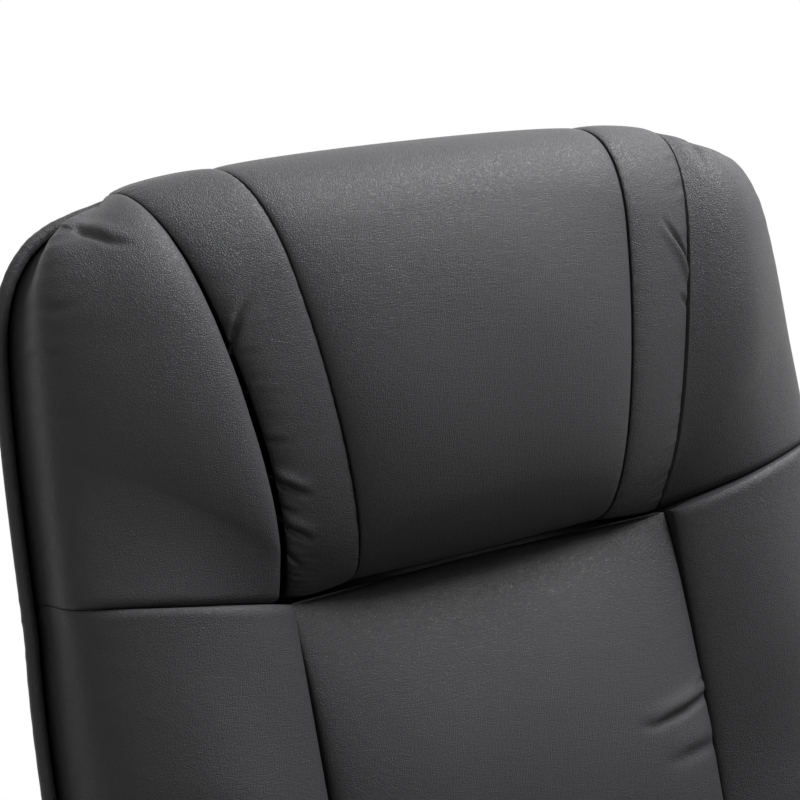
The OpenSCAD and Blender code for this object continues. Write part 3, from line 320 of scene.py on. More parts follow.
# %% Plastics, rubber and timber
make_finish("black_plastic", "moulded_black", speckle, "Smudge", (0.018, 0.018, 0.019), 0.38,
            [(0.014, 0.014, 0.015), (0.024, 0.024, 0.026)], (0.3, 0.46), 0.00012,
            Fine=1700.0, Coarse=16.0)
make_finish("nylon", "white_nylon", speckle, "Smudge", (0.78, 0.77, 0.72), 0.45,
            [(0.70, 0.69, 0.63), (0.82, 0.81, 0.77)], (0.38, 0.52), 0.00004,
            Fine=900.0, Coarse=30.0)
make_finish("rubber", "matt_rubber", speckle, "Smudge", (0.025, 0.025, 0.025), 0.8,
            [(0.018, 0.018, 0.018), (0.036, 0.035, 0.034)], (0.7, 0.9), 0.0003,
            specular=0.3, Fine=700.0, Coarse=12.0)
make_finish("timber", "planed_softwood", timber, "Ring", (0.5, 0.35, 0.2), 0.6,
            [(0.58, 0.42, 0.25), (0.38, 0.23, 0.11)], (0.5, 0.7), 0.0002,
            specular=0.35, Rings=70.0)

for name, piece in nodes.items():
    piece.data.materials.clear()
    piece.data.materials.append(finishes[slot_of[name]])
print("finishes:", sorted(finishes))

# %% [markdown]
# ## Soft forms
# A cushion is sewn from panels. Sculpting one by hand would lose the seams, so each panel is made
# as a stack of rings: it is held at its seams and swells between them, and every ring crosses it
# once and dips at both seams. All lengths below are in millimetres, as an upholsterer measures.

# %% Curves
def bezier(shares, t):
    shares = np.asarray(shares, float)
    count = (len(shares) - 1) // 3
    k = np.minimum((t * count).astype(int), count - 1)
    s = (t * count - k)[:, None]
    a, b, c, d = (shares[3 * k + i] for i in range(4))
    return a * (1 - s) ** 3 + 3 * b * (1 - s) ** 2 * s + 3 * c * (1 - s) * s ** 2 + d * s ** 3


def swell(s, power):
    """1 in the middle, 0 at s = -1 and 1, and squarer with more power"""
    return np.sqrt(np.clip(1 - np.abs(s) ** power, 0, None))


def squared(v, power):
    return np.sign(v) * np.abs(v) ** power


def mix(a, b, t):
    return a + (b - a) * t


def ease(t):
    return (1 - np.cos(np.pi * t)) / 2


def run_length(points):
    return np.concatenate([[0], np.cumsum(np.linalg.norm(np.diff(points, axis=0), axis=1))])


# %% Skins
MM = 0.001


def smooth_mesh(name, points, faces):
    mesh = bpy.data.meshes.new(name)
    mesh.from_pydata((np.asarray(points) * MM).tolist(), [], faces)
    work = bmesh.new()
    work.from_mesh(mesh)
    bmesh.ops.recalc_face_normals(work, faces=work.faces)
    work.to_mesh(mesh)
    work.free()
    mesh.polygons.foreach_set("use_smooth", [True] * len(mesh.polygons))
    piece = bpy.data.objects.new(name, mesh)
    scene.collection.objects.link(piece)
    piece.data.materials.append(black_leather)
    print(name, len(mesh.polygons), "faces")
    return piece


def ring_faces(m, n):
    """the faces between m rings of n points, and the ring and point that each starts from"""
    k, i = np.meshgrid(np.arange(m - 1), np.arange(n), indexing="ij")
    a, b = k * n + i, k * n + (i + 1) % n
    return np.stack([a, b, b + n, a + n], -1).reshape(-1, 4), k.ravel(), i.ravel()


def closed_skin(name, rings):
    m, n, _ = rings.shape
    faces = ring_faces(m, n)[0].tolist()
    faces += [[(i + 1) % n, i, m * n] for i in range(n)]
    faces += [[(m - 1) * n + i, (m - 1) * n + (i + 1) % n, m * n + 1] for i in range(n)]
    points = np.vstack([rings.reshape(-1, 3), rings[:1].mean(1), rings[-1:].mean(1)])
    return smooth_mesh(name, points, faces)


def finish_soft(piece, body, replaced):
    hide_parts(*replaced)
    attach(piece, body)


# %% [markdown]
# ## Folds
# Leather that is pulled to a seam can't stay smooth. A bump in the material would vanish at the
# outline, so the folds are in the mesh. A long fold is a path with a narrow dip and a soft lip
# beside it. Gathers are the short wrinkles that run into a seam, stronger on an inside curve, and
# they fade out within a finger's width. Where two panels meet, both dip into the seam.

# %% Folds and gathers
def fold(u, h, path, depth, width, lip, side, start):
    """a dip that fades out along its path, with a lip two widths beside it"""
    path = np.asarray(path, float)
    steps = np.linalg.norm(np.diff(path, axis=0), axis=1)
    best = np.full(u.shape, 1e9)
    signed = np.zeros(u.shape)
    along = np.zeros(u.shape)
    for p, q, l, gone in zip(path[:-1], path[1:], steps, np.cumsum(steps) - steps):
        d = (q - p) / l
        t = np.clip((u - p[0]) * d[0] + (h - p[1]) * d[1], 0, l)
        x, y = u - p[0] - t * d[0], h - p[1] - t * d[1]
        far = np.hypot(x, y)
        near = far < best
        best = np.where(near, far, best)
        signed = np.where(near, np.where(x * d[1] - y * d[0] >= 0, far, -far), signed)
        along = np.where(near, gone + t, along)
    a = along / steps.sum()
    power = (1 - a ** 2) ** 1.5 * np.clip((a + start) / 0.12, 0, 1)
    hollow = np.exp(-(signed / width) ** 2)
    swelling = np.exp(-((signed * side - 2.2 * width) / (2 * width)) ** 2)
    return power * (lip * swelling - depth * hollow)


def add_folds(ripple, u, h, folds, start, room):
    for path, depth, width, lip, side in folds:
        ripple = ripple + fold(u, h, path, depth, width, lip, side, start) * room
    return ripple


def gathers(along, across, reach, pitch, depth, seed):
    chance = np.random.default_rng(seed)
    total = np.zeros(np.broadcast(along, across).shape)
    for share in (0.62, 1.0, 1.7):
        p, q, r = chance.uniform(0, 2 * np.pi, 3)
        wave = pitch * share
        bend = along + 0.35 * across + 3 * np.sin(along / (5 * wave) + r)
        power = (0.5 + 0.5 * np.sin(along / (2.9 * wave) + q)) ** 2
        total = total + np.sin(2 * np.pi * bend / wave + p) * power
    return depth * total / 2 * np.exp(-(np.abs(across) / reach) ** 1.4)


def sway(u, h, size, depth, seed):
    chance = np.random.default_rng(seed)
    total = np.zeros(u.shape)
    for _ in range(7):
        a, phase = chance.uniform(0, 2 * np.pi, 2)
        wave = size * chance.uniform(0.7, 1.8)
        total = total + np.sin(2 * np.pi * (u * math.cos(a) + h * math.sin(a)) / wave + phase)
    return depth * total / 3


def dip(far, depth, reach):
    return depth * np.exp(-far / reach)


def push(points, amount):
    across = np.gradient(points, axis=1)
    along = np.gradient(points, axis=0)
    out = np.cross(across, along)
    out = out / np.maximum(np.linalg.norm(out, axis=-1, keepdims=True), 1e-9)
    return points + out * amount[..., None]


# %% [markdown]
# ## The back's own measures
# The back leans 18.6 degrees and turns about a pivot at the seat. Leaning numbers would be hard to
# read, so points on it are named by u across, h up from the head seam and w towards the sitter.
# The curves are its outline and three side views of the head roll: the middle, the inner seams
# and the outer seams.

# %% The back's measures
LEAN = math.radians(18.6)
PIVOT_Y, PIVOT_Z = 215, 345
HEAD_V, HEAD_H, SEAM_OFF = 460.0, 298.0, 62.0
HALF_W, BACK_L, BACK_START, REAR = 316.0, 752.0, 48.0, 36.0
SKIN_REAR = -REAR + 2
WELT_INSET, WELT_SWING, WELT_R, WELT_BEHIND = 3, 10, 4.5, 4.8
INNER_SEAM, OUTER_SEAM = (106.5, 46, 0.85, 0.15), (162, 65, 0.53, 0.47)
outline_shares = [[0, 1], [0.348, 1], [0.57, 0.997], [0.712, 0.976], [0.848, 0.955], [0.924, 0.936],
                  [0.953, 0.878], [0.978, 0.824], [0.988, 0.745], [1.003, 0.625], [1.04, 0.505],
                  [1.05, 0.27], [0.949, BACK_START / BACK_L]]
head_mid = [[0.01, -0.08], [0.012, 0.0], [0.05, 0.054], [0.15, 0.114], [0.29, 0.19], [0.6, 0.214],
            [0.8, 0.148], [0.915, 0.114], [0.982, 0.027], [0.988, -0.1], [0.991, -0.107],
            [0.988, -0.113], [0.975, -0.115]]
head_inner = [[0.01, -0.08], [0.012, -0.03], [0.03, 0.0], [0.075, 0.03], [0.19, 0.108], [0.47, 0.15],
              [0.72, 0.131], [0.88, 0.114], [0.958, 0.03], [0.966, -0.07], [0.968, -0.09],
              [0.968, -0.1], [0.966, -0.115]]
head_outer = [[0, -0.05], [0.008, -0.03], [0.045, -0.01], [0.1, 0.025], [0.2, 0.088], [0.45, 0.13],
              [0.67, 0.111], [0.845, 0.094], [0.927, 0.01], [0.941, -0.07], [0.943, -0.09],
              [0.944, -0.1], [0.942, -0.115]]


def back_point(u, h, w):
    u, h, w = np.broadcast_arrays(u, h, w)
    y = -(w + SEAM_OFF)
    z = h + HEAD_V
    return np.stack([u, PIVOT_Y + y * math.cos(LEAN) + z * math.sin(LEAN),
                     PIVOT_Z - y * math.sin(LEAN) + z * math.cos(LEAN)], -1)


def outline(t):
    return bezier(outline_shares, t) * [HALF_W, BACK_L]


def outline_in(t, inset):
    d = outline(np.minimum(t + 0.004, 1)) - outline(np.maximum(t - 0.004, 0))
    n = np.stack([-d[:, 1], d[:, 0]], -1) / np.linalg.norm(d, axis=1, keepdims=True)
    return outline(t) - n * np.reshape(inset, (-1, 1))


def welt_out(t):
    return ease(np.clip((t - 0.18) / 0.2, 0, 1))


def welt_inset(t):
    return WELT_INSET - WELT_SWING * welt_out(t)


def seam_u(seam, h):
    start, grows, straight, curved = seam
    s = h / HEAD_H
    return start + grows * s * (straight + curved * s)


def back_panel(name, u, h, w, amount, ends, side=1):
    front = push(back_point(side * u, h, np.maximum(w, SKIN_REAR)), amount * side)
    rear = [back_point(side * p, q, r)[:, None] for p, q, r in ends]
    return closed_skin(name, np.concatenate([front, *rear], axis=1))


def flat_rear(u, h):
    return [(u[:, -1], h, -REAR), (u[:, 0], h, -REAR)]


print("back", 2 * HALF_W, "mm wide and", BACK_L, "mm long")

# %% [markdown]
# ## The head roll
# A wide centre panel and a narrow strip on each side are sewn together and stuffed. One mesh for
# all three would round off their seams, so each is its own. The centre panel swells most. The
# strips gather along their outer seams, where the roll bends inwards.

# %% Head cushion
SEAM_ROOM = 0.3
roll_t = np.linspace(0, 1, 420)
inner, outer, middle = (bezier(c, roll_t) * HEAD_H for c in (head_inner, head_outer, head_mid))
roll_gap = SEAM_ROOM * (1 - 2 * roll_t)[:, None]
roll_path = run_length(middle)[:, None]
roll_rear = mix(0, outer[-1, 0], roll_t) + roll_gap[:, 0]
s = -np.cos(np.linspace(0, np.pi, 111))[None, :]
rise = swell(s, 2.6)
edge_u = (seam_u(INNER_SEAM, inner[:, 0]) - SEAM_ROOM)[:, None]
u = edge_u * s
h = inner[:, :1] + (middle - inner)[:, :1] * rise + roll_gap
w = inner[:, 1:] + (middle - inner)[:, 1:] * rise
along = roll_path + 0 * u
from_edge = edge_u - np.abs(u)
ripple = sway(u, along, size=150, depth=0.5, seed=3) * rise
ripple = ripple + gathers(along, from_edge, reach=9, pitch=13, depth=0.35, seed=4) * rise
ripple = ripple + gathers(u, along, reach=22, pitch=26, depth=0.6, seed=5) * rise
ripple = ripple - dip(from_edge, 0.8, 2)
piece = back_panel("head_roll_middle", u, h, w, ripple, flat_rear(u, roll_rear))
finish_soft(piece, "back", ["head_cushion"])

# %% Head strips
VALLEY = {1: 3.0, -1: 7.0}
# each fold: its path in u and h, its depth, its width, its lip and the lip's side
STRIP_FOLDS = {
    1: [([(193, 170), (186, 186), (180, 196), (174, 204), (167, 214)], 6.5, 2.1, 3.0, -1),
        ([(185, 146), (179, 150), (172, 156)], 2.2, 2.4, 0.9, 1),
        ([(182, 78), (176, 77), (168, 80)], 1.8, 2.0, 0.6, 1)],
    -1: [([(192, 168), (187, 177), (181, 188), (173, 198)], 6.0, 2.0, 2.6, 1),
         ([(180, 108), (170, 106), (160, 104)], 2.0, 2.0, 1.0, 1),
         ([(176, 82), (166, 77), (158, 72), (146, 67)], 6.0, 2.0, 2.8, 1),
         ([(173, 64), (165, 61), (157, 57)], 3.2, 1.6, 1.3, 1),
         ([(170, 51), (162, 47), (155, 43), (146, 37)], 6.0, 2.0, 2.8, 1),
         ([(167, 32), (159, 27), (151, 19)], 3.4, 1.8, 1.5, 1)],
}


def head_strip(side, seed):
    s = (1 - np.cos(np.linspace(0, np.pi, 49)))[None, :] / 2
    t = roll_t[:, None]
    u0 = (seam_u(INNER_SEAM, inner[:, 0]) + SEAM_ROOM)[:, None]
    u1 = (seam_u(OUTER_SEAM, outer[:, 0]) - SEAM_ROOM)[:, None]
    u = mix(u0, u1, s)
    crown = swell(2 * s - 1, 2.2)
    h = mix(inner[:, :1], outer[:, :1], s) + 5 * t * crown + roll_gap
    w = mix(inner[:, 1:], outer[:, 1:], s) + 8 * (1 - t) * crown
    along = roll_path + 0 * u
    ripple = gathers(along, u1 - u, reach=12, pitch=15, depth=0.8, seed=seed) * crown
    ripple = ripple + gathers(along, u - u0, reach=6, pitch=12, depth=0.25, seed=seed + 1)
    valley = mix(VALLEY[side], 0.6, ease(np.clip((t - 0.35) / 0.35, 0, 1)))
    ripple = ripple - dip(u1 - u, valley, 7) - dip(u - u0, 0.5, 2)
    ripple = add_folds(ripple, u, h, STRIP_FOLDS[side], 0.1, np.minimum(1, crown * 1.5))
    return u, h, w, ripple, flat_rear(u, roll_rear)


for side, name, seed in ((1, "left", 11), (-1, "right", 12)):
    piece = back_panel("head_roll_strip_" + name, *head_strip(side, seed), side)
    finish_soft(piece, "back", ["head_bolster_" + name])

# %% [markdown]
# ## The wings and side panels
# A cross seam halfway up parts each side into a wing beside the head and a long panel beside the
# small of the back. Both roll over into the welt at the edge of the back, so one helper makes
# them: each row of points runs from the inner seam to the outline, and a row that has little
# room swells less.

# %% Side panel helper
CROSS = 0.729
SEAM_DIP, SEAM_REACH, FOOT_DIP, FOOT_REACH = 4.5, 7, 9, 16
OUTER_W, FULL_ROOM = 4, 80


def side_panel(inner_edge, t, crown, bulge, valley, gap, along, seed,
               folds=(), gentle=0.0, foot=False):
    """inner_edge gives u, h, w and the rear's h of each row, and t its place on the outline"""
    u0, h0, w0, rear_h = inner_edge
    edge = outline(t) - [2, HEAD_V]
    s = ease(np.linspace(0, 1, 85))[None, :]
    u = mix(u0[:, None], edge[:, :1], s)
    h = mix(h0[:, None], edge[:, 1:], s) + gap[:, None]
    wide = np.hypot(edge[:, 0] - u0, edge[:, 1] - h0)[:, None]
    cross = -1 if foot else 0
    from_cross = np.hypot(u - u[cross], h - h[cross])
    seam = swell(1 - np.clip(from_cross / SEAM_REACH + 0.02, 0, 1), 2)
    open_foot = swell(1 - np.clip((h - h[0]) / FOOT_REACH + 0.02, 0, 1), 2) if foot else 1.0
    room = np.clip(wide / FULL_ROOM, 0, 1)
    out = outline_in(t, -1) - outline(t)
    side_bulge = bulge[:, None] * np.sin(np.pi * np.clip((s - 0.5) / 0.5, 0, 1) ** 2.4)
    u, h = u + out[:, :1] * side_bulge, h + out[:, 1:] * side_bulge
    arch = mix(swell(2 * s - 1, 2.2), np.sin(np.pi * s), gentle) * open_foot
    outer_w = mix(w0[:, None], OUTER_W, room)
    top = mix(w0[:, None], outer_w, s) + crown[:, None] * room * arch
    top = top - SEAM_DIP * (1 - seam) - FOOT_DIP * (1 - open_foot)
    w = mix(SKIN_REAR, np.maximum(top, SKIN_REAR), swell(s, 7))
    plump = arch * np.clip((wide - 25) / 60, 0, 1)
    ripple = sway(u, h, size=120, depth=0.8, seed=seed) * plump
    for far, *sizes, more in ((wide * s, 9, 17, 0.5, 1), (wide * (1 - s), 20, 24, 0.9, 2)):
        ripple = ripple + gathers(along[:, None], far, *sizes, seed + more) * plump
    ripple = ripple - dip(wide * s, valley[:, None], 5) * room
    ripple = add_folds(ripple, u, h, folds, 0.1, swell(s, 6))
    k = welt_out(t) ** 4
    lip = outline_in(t, 2 - 4 * k) - [0, HEAD_V]
    ends = [(lip[:, 0], lip[:, 1] + gap, -REAR - WELT_BEHIND * k),
            (edge[:, 0] - 8, edge[:, 1] + gap, -REAR),
            (u0, rear_h + gap, -REAR)]
    return u, h, w, ripple, ends


# %% Wings
WING_FOLDS = {
    1: [([(236, 262), (232, 252), (226, 240)], 2.2, 4.0, 1.0, 1)],
    -1: [([(262, 256), (252, 246), (236, 240)], 3.0, 3.0, 1.6, 1),
         ([(304, 214), (292, 210), (276, 214)], 2.0, 4.0, 1.0, 1),
         ([(312, 190), (302, 183), (290, 184)], 2.6, 2.2, 1.2, 1),
         ([(314, 150), (304, 144), (292, 146)], 2.0, 2.2, 0.9, 1)],
}
TIP = 0.285
t = np.linspace(0, 1, 200)
roll_edge = bezier(head_outer, t) * HEAD_H
inner_edge = (seam_u(OUTER_SEAM, roll_edge[:, 0]) + SEAM_ROOM, roll_edge[:, 0],
              np.maximum(roll_edge[:, 1], SKIN_REAR), mix(0, outer[-1, 0], t))
upper = ease(np.clip((t - 0.3) / 0.3, 0, 1))
crown = mix(27, 7, ease(np.clip((t - 0.25) / 0.75, 0, 1)))
for side, name, seed in ((1, "left", 21), (-1, "right", 25)):
    panel = side_panel(inner_edge, mix(CROSS, TIP, t), crown, bulge=mix(14, 4, t ** 3),
                       valley=mix(5, 0.8, upper) * (side < 0), gap=SEAM_ROOM * (1 - t), along=300 * t,
                       seed=seed, folds=WING_FOLDS[side], gentle=side > 0)
    piece = back_panel("wing_" + name + "_cover", *panel, side)
    finish_soft(piece, "back", ["wing_" + name])

# %% Side panels
SIDE_EDGE, LUMBAR_EDGE, LUMBAR_W = 161.3, 160.7, 3
t = ease(np.linspace(0, 1, 200))
h0 = mix(BACK_START - HEAD_V, 0, t)
rows = 0 * h0
crown = 16 + 11 * ease(np.clip((h0 + 230) / 110, 0, 1))
for side, name, seed in ((1, "left", 31), (-1, "right", 35)):
    panel = side_panel((rows + SIDE_EDGE, h0, rows + LUMBAR_W, h0), mix(1, CROSS, t), crown,
                       bulge=14 * t ** 2, valley=rows + 0.8, gap=rows - SEAM_ROOM, along=h0,
                       seed=seed, gentle=0.5, foot=True)
    piece = back_panel("side_panel_" + name + "_cover", *panel, side)
    finish_soft(piece, "back", ["side_panel_" + name])

# %% [markdown]
# ## The lumbar panel
# The panel below the head roll carries the small of the back. Its upper edge comes up against the
# roll and catches the light, and a deep fold runs from its seam near the elbow. Its rows are
# straight across, and its tail reaches a little under the roll, so that no light comes through.

# %% Lumbar panel
TAIL = 5
LUMBAR_FOLDS = [
    ([(158, -137), (148, -138), (129, -141), (108, -143), (95, -144), (76, -139)], 5.6, 3.2, 3.6, 1),
    ([(160, -172), (136, -172), (112, -173), (92, -170)], 2.8, 5.0, 1.8, 1),
    ([(159, -124), (150, -126), (141, -130)], 2.4, 1.6, 1.0, 1),
    ([(-158, -196), (-140, -199), (-118, -196)], 2.0, 4.0, 1.0, -1),
]
t = ease(np.linspace(0, 1, 270))
h_low = mix(BACK_START - HEAD_V, -SEAM_ROOM, t)
rise = swell(2 * t - 1, np.where(t > 0.5, 2.8, 6))[:, None]
bow = 10 * np.sin(np.pi * (1 - t) ** 0.8)[:, None]
s = -np.cos(np.linspace(0, np.pi, 171))[None, :]
u = LUMBAR_EDGE * s
h = h_low[:, None] + 0 * u
drop = np.where(t[:, None] > 0.5, mix(33, 9, s ** 4), 11.7)
w = LUMBAR_W - (1 - rise) * drop + ((16 + bow) * rise) * swell(s, 2.4)
plump = swell(s, 2.4) * rise
from_edge = LUMBAR_EDGE - np.abs(u)
ripple = sway(u, h, size=140, depth=0.7, seed=41) * plump
ripple = ripple + gathers(h, from_edge, reach=11, pitch=19, depth=0.55, seed=42) * plump
ripple = ripple + gathers(u, -h, reach=26, pitch=30, depth=1.0, seed=43) * plump
ripple = add_folds(ripple, u, h, LUMBAR_FOLDS, 0.15, np.minimum(1, 1.6 * plump))
ripple = ripple - dip(from_edge, 1.2, 2.5)
piece = back_panel("lumbar_panel", u, h, w, ripple, flat_rear(u, h_low + TAIL * t ** 20))
finish_soft(piece, "back", ["lumbar_cushion"])

# %% [markdown]
# ## Welt and rear cover
# A welt is a cord in a leather tube. It runs round the back between the front panels and the
# boxed rear cover. A bevelled curve would make the tube, but rings of points let it pucker as
# sewn leather does. The cover is a shell: a band round the side, then the rear panel, which is
# parted by two seams. It stays open below, where the frame and its brackets go in.

# %% Welt
def both_sides(points):
    return np.concatenate([points[::-1], points[1:] * [-1, 1]])


t = np.linspace(0, 1, 240)
core = both_sides(outline_in(t, welt_inset(t)))
out = both_sides(outline_in(t, welt_inset(t) - 1)) - core
out = out / np.linalg.norm(out, axis=1, keepdims=True)
a = np.linspace(0, 2 * np.pi, 14, endpoint=False)
welt_path = run_length(core)
radius = WELT_R + gathers(welt_path, 0 * welt_path, reach=9, pitch=11, depth=0.22, seed=51)
reach = radius[:, None] * np.cos(a)
deep = radius[:, None] * np.sin(a)
flat = core[:, None, :] + out[:, None, :] * reach[..., None]
tube = back_point(flat[..., 0], flat[..., 1] - HEAD_V, -(REAR + WELT_BEHIND) + deep)
finish_soft(closed_skin("welt", tube), "back", ["back_welt"])

# %% Rear cover measures
COVER_FRONT, COVER_REAR, TAPER, SIDE_D, ROUND, CROWN = 45.6, 104.6, 26.0, 43.0, 16.0, 4.0
PANEL_MIDDLE, PANEL_SEAM, PANEL_DIP = 400, 150, 2.6
t = np.linspace(0, 1, 150)


def cover_course(inset, taper):
    p = outline_in(t, welt_inset(t) + inset + taper * mix(1, 0.4, t ** 6))
    p[:, 1] = np.maximum(p[:, 1], BACK_START)
    return both_sides(p)


# each band of the side: its inset, its taper and its depth behind the head seam
bands = [(5.0, 0, COVER_FRONT + 3.0), (3.6, 0, COVER_FRONT + 0.6), (1.2, 0, COVER_FRONT + 0.4)]
for k in range(1, 10):
    share = k / 10
    bulge = 1.6 * math.sin(math.pi * share)
    bands.append((-bulge, TAPER * share ** 1.4, COVER_FRONT + SIDE_D * share))
lean = math.atan2(TAPER, SIDE_D)
seam_depth = COVER_FRONT + SIDE_D - 2
bands += [(1.4, TAPER * 0.95, seam_depth + 0.5), (1.6, TAPER * 0.97, seam_depth + 1.5)]
for a in np.linspace(lean + 0.1, math.pi / 2, 9):
    inset = ROUND * (math.cos(lean) - math.cos(a)) - 0.5
    bands.append((inset, TAPER, COVER_REAR - CROWN - ROUND * (1 - math.sin(a))))
print("rear cover bands:", len(bands))

# %% Rear cover
rings = []
for inset, taper, depth in bands:
    p = cover_course(inset, taper)
    rings.append(back_point(p[:, 0], p[:, 1] - HEAD_V, -depth))
last = cover_course(ROUND * math.cos(lean), TAPER)
for k in range(1, 45):
    share = 1 - k / 44
    x, y = last[:, 0] * share, mix(PANEL_MIDDLE, last[:, 1], share)
    groove = PANEL_DIP * np.exp(-((np.abs(x) - PANEL_SEAM) / PANEL_DIP) ** 2)
    crown = CROWN * (1 - share ** 3)
    wrinkle = sway(x, y, size=160, depth=0.5, seed=61) * (1 - share ** 6)
    rings.append(back_point(x, y - HEAD_V, -(COVER_REAR - CROWN + crown - groove + wrinkle)))
rings = np.array(rings)
m, n, _ = rings.shape
faces, ring_of, point_of = ring_faces(m, n)
below = (point_of == n - 1) & (ring_of < len(bands) - 1)
piece = smooth_mesh("rear_cover_leather", rings.reshape(-1, 3), faces[~below].tolist())
finish_soft(piece, "back", ["rear_cover"])

# %% [markdown]
# ## Cloth helper
# A cushion that is blown up like a balloon while its seams are held finds its own folds, which
# no formula does as well. The helper runs Blender's cloth with pressure for twenty frames, keeps
# each point within a cap of its first place, and leaves a plain mesh behind.

# %% Cloth helper
PRESSURE, CLOTH_FRAMES = 2.5, 20


def held_points(held):
    """the numbers of a closed skin's held points, with its two poles"""
    return [*np.flatnonzero(held).tolist(), held.size, held.size + 1]


def blow_up(piece, held, cap, slack):
    mesh = piece.data
    start = np.empty(len(mesh.vertices) * 3)
    mesh.vertices.foreach_get("co", start)
    group = piece.vertex_groups.new(name="held")
    group.add(held_points(held), 1.0, "REPLACE")
    cloth = piece.modifiers.new("cloth", "CLOTH")
    settings = cloth.settings
    settings.quality = 6
    settings.mass = 0.3
    settings.tension_stiffness = 18
    settings.compression_stiffness = 18
    settings.bending_stiffness = 1.2
    settings.use_pressure = True
    settings.uniform_pressure_force = PRESSURE
    settings.shrink_min = slack
    settings.vertex_group_mass = "held"
    settings.effector_weights.gravity = 0
    for number in range(1, CLOTH_FRAMES + 1):
        scene.frame_set(number)
    seen = piece.evaluated_get(bpy.context.evaluated_depsgraph_get())
    blown = np.empty_like(start)
    seen.data.vertices.foreach_get("co", blown)
    piece.modifiers.remove(cloth)
    piece.vertex_groups.clear()
    scene.frame_set(1)
    move = (blown - start).reshape(-1, 3)
    length = np.linalg.norm(move, axis=1, keepdims=True)
    limit = cap * MM
    move = move * (limit * np.tanh(length / limit) / np.maximum(length, 1e-9))
    mesh.vertices.foreach_set("co", (start.reshape(-1, 3) + move).ravel())
    mesh.update()
    print(piece.name, "blown up, most moved", round(float(length.max()) / MM, 1), "mm")


# %% [markdown]
# ## The seat
# Three panels side by side, sewn along two seams, roll over the front edge. One side view, from
# the rear round the front and back underneath, is carried across the seat and dips at the seams.
# The frame below keeps the underside flat.

# %% Panels across
def panel_steps(seams, count):
    parts = []
    for a, b in zip(seams[:-1], seams[1:]):
        k = max(8, int(count * (b - a) / (seams[-1] - seams[0])))
        parts.append(mix(a, b, ease(np.linspace(0, 1, k, endpoint=False))))
    return np.concatenate([*parts, [seams[-1]]])


def between(x, seams):
    """1 in the middle of a panel, 0 at its seams"""
    seams = np.asarray(seams)
    k = np.clip(np.searchsorted(seams, x, side="right") - 1, 0, len(seams) - 2)
    share = (x - seams[k]) / (seams[k + 1] - seams[k])
    return swell(2 * share - 1, 2.6)


def from_seam(x, seams):
    return np.min([np.abs(x - s) for s in seams[1:-1]], axis=0)


def on_seam(x, seams):
    return np.isin(np.round(np.abs(x), 3), seams[2:])


# %% Seat cushion
SEAT_HALF, SEAT_SEAM, SEAT_T, FRAME_TOP = 254.0, 160.0, 79.7, 375.3
SEAT_D, SEAT_REAR, CORNER_AT, CORNER_R = 534, 148, 236, 18
TOP_DIP, FRONT_DIP = 9, 5
seat_side = [[0.0, 0], [-0.018, 0.25], [-0.0225, 0.8], [0.01, 0.93], [0.09, 0.98], [0.5, 0.93],
             [0.78, 0.98], [0.93, 1.01], [1, 0.88], [1, 0.5], [1, 0.25], [0.992, 0.1], [0.965, 0]]
seams = [-SEAT_HALF, -SEAT_SEAM, SEAT_SEAM, SEAT_HALF]
x = panel_steps(seams, 190)[:, None]
side = bezier(seat_side, np.linspace(0, 1, 150))
under = np.stack([np.linspace(0.95, 0.03, 26), np.zeros(26)], -1)
deep, high = np.vstack([side, under]).T[:, None, :]
edge = np.abs(x / SEAT_HALF) ** 8
corner = 1 - swell(np.clip((np.abs(x) - CORNER_AT) / CORNER_R, 0, 1), 2.0)
plump = between(x, seams)
f = mix(deep, 0.5, 0.04 * edge + 0.02 * corner) * SEAT_D - SEAT_REAR
z = high * (1 - 0.12 * edge - 0.16 * corner) * SEAT_T
top = np.clip((high - 0.45) / 0.3, 0, 1)
z = z - TOP_DIP * (1 - plump) * top * (1 - corner)
f = f - FRONT_DIP * (1 - plump) * (1 - corner) * np.clip((deep - 0.9) / 0.08, 0, 1)
grow = gathers(f, from_seam(x, seams), reach=15, pitch=22, depth=1.1, seed=71) * top
z = z + (grow + sway(x + 0 * z, f, size=150, depth=1.2, seed=72) * top * plump)
piece = closed_skin("seat_leather", np.stack([x + 0 * z, -f, FRAME_TOP + z], -1))
blow_up(piece, on_seam(x, seams) | (high < 0.12), cap=9, slack=-0.015)
finish_soft(piece, "seat", ["seat_cushion"])

# %% [markdown]
# ## Front apron
# A thin padded band of leather hides the seat frame below the cushion, on the front and both
# sides. Its CAD node already has the right shape but sharp edges, and a CAD mesh is never
# changed. So a merged copy gets its edges turned in by a bevel, and stands for the node.

# %% Rounded copies
BEVEL_FROM, SMOOTH_BELOW = math.radians(35), math.radians(40)


def merged_copy(node, name):
    piece = bpy.data.objects.new(name, nodes[node].data.copy())
    scene.collection.objects.link(piece)
    bpy.ops.object.select_all(action="DESELECT")
    bpy.context.view_layer.objects.active = piece
    piece.select_set(True)
    bpy.ops.object.mode_set(mode="EDIT")
    bpy.ops.mesh.select_all(action="SELECT")
    bpy.ops.mesh.remove_doubles(threshold=0.000005)
    bpy.ops.mesh.tris_convert_to_quads(face_threshold=0.02, shape_threshold=3.1)
    bpy.ops.object.mode_set(mode="OBJECT")
    return piece


def round_corners(piece, width, segments):
    bevel = piece.modifiers.new("rounded", "BEVEL")
    bevel.width = width * MM
    bevel.segments = segments
    bevel.limit_method = "ANGLE"
    bevel.angle_limit = BEVEL_FROM
    bpy.ops.object.modifier_apply(modifier=bevel.name)
    bpy.ops.object.shade_smooth_by_angle(angle=SMOOTH_BELOW)
    return piece


def stand_for(piece, node, body):
    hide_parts(node)
    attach(piece, body)
    piece.data.materials.clear()
    piece.data.materials.append(finishes[slot_of[node]])
    print(piece.name, len(piece.data.polygons), "faces")


# %% Apron
stand_for(round_corners(merged_copy("seat_apron", "apron_leather"), 2.0, 3), "seat_apron", "seat")

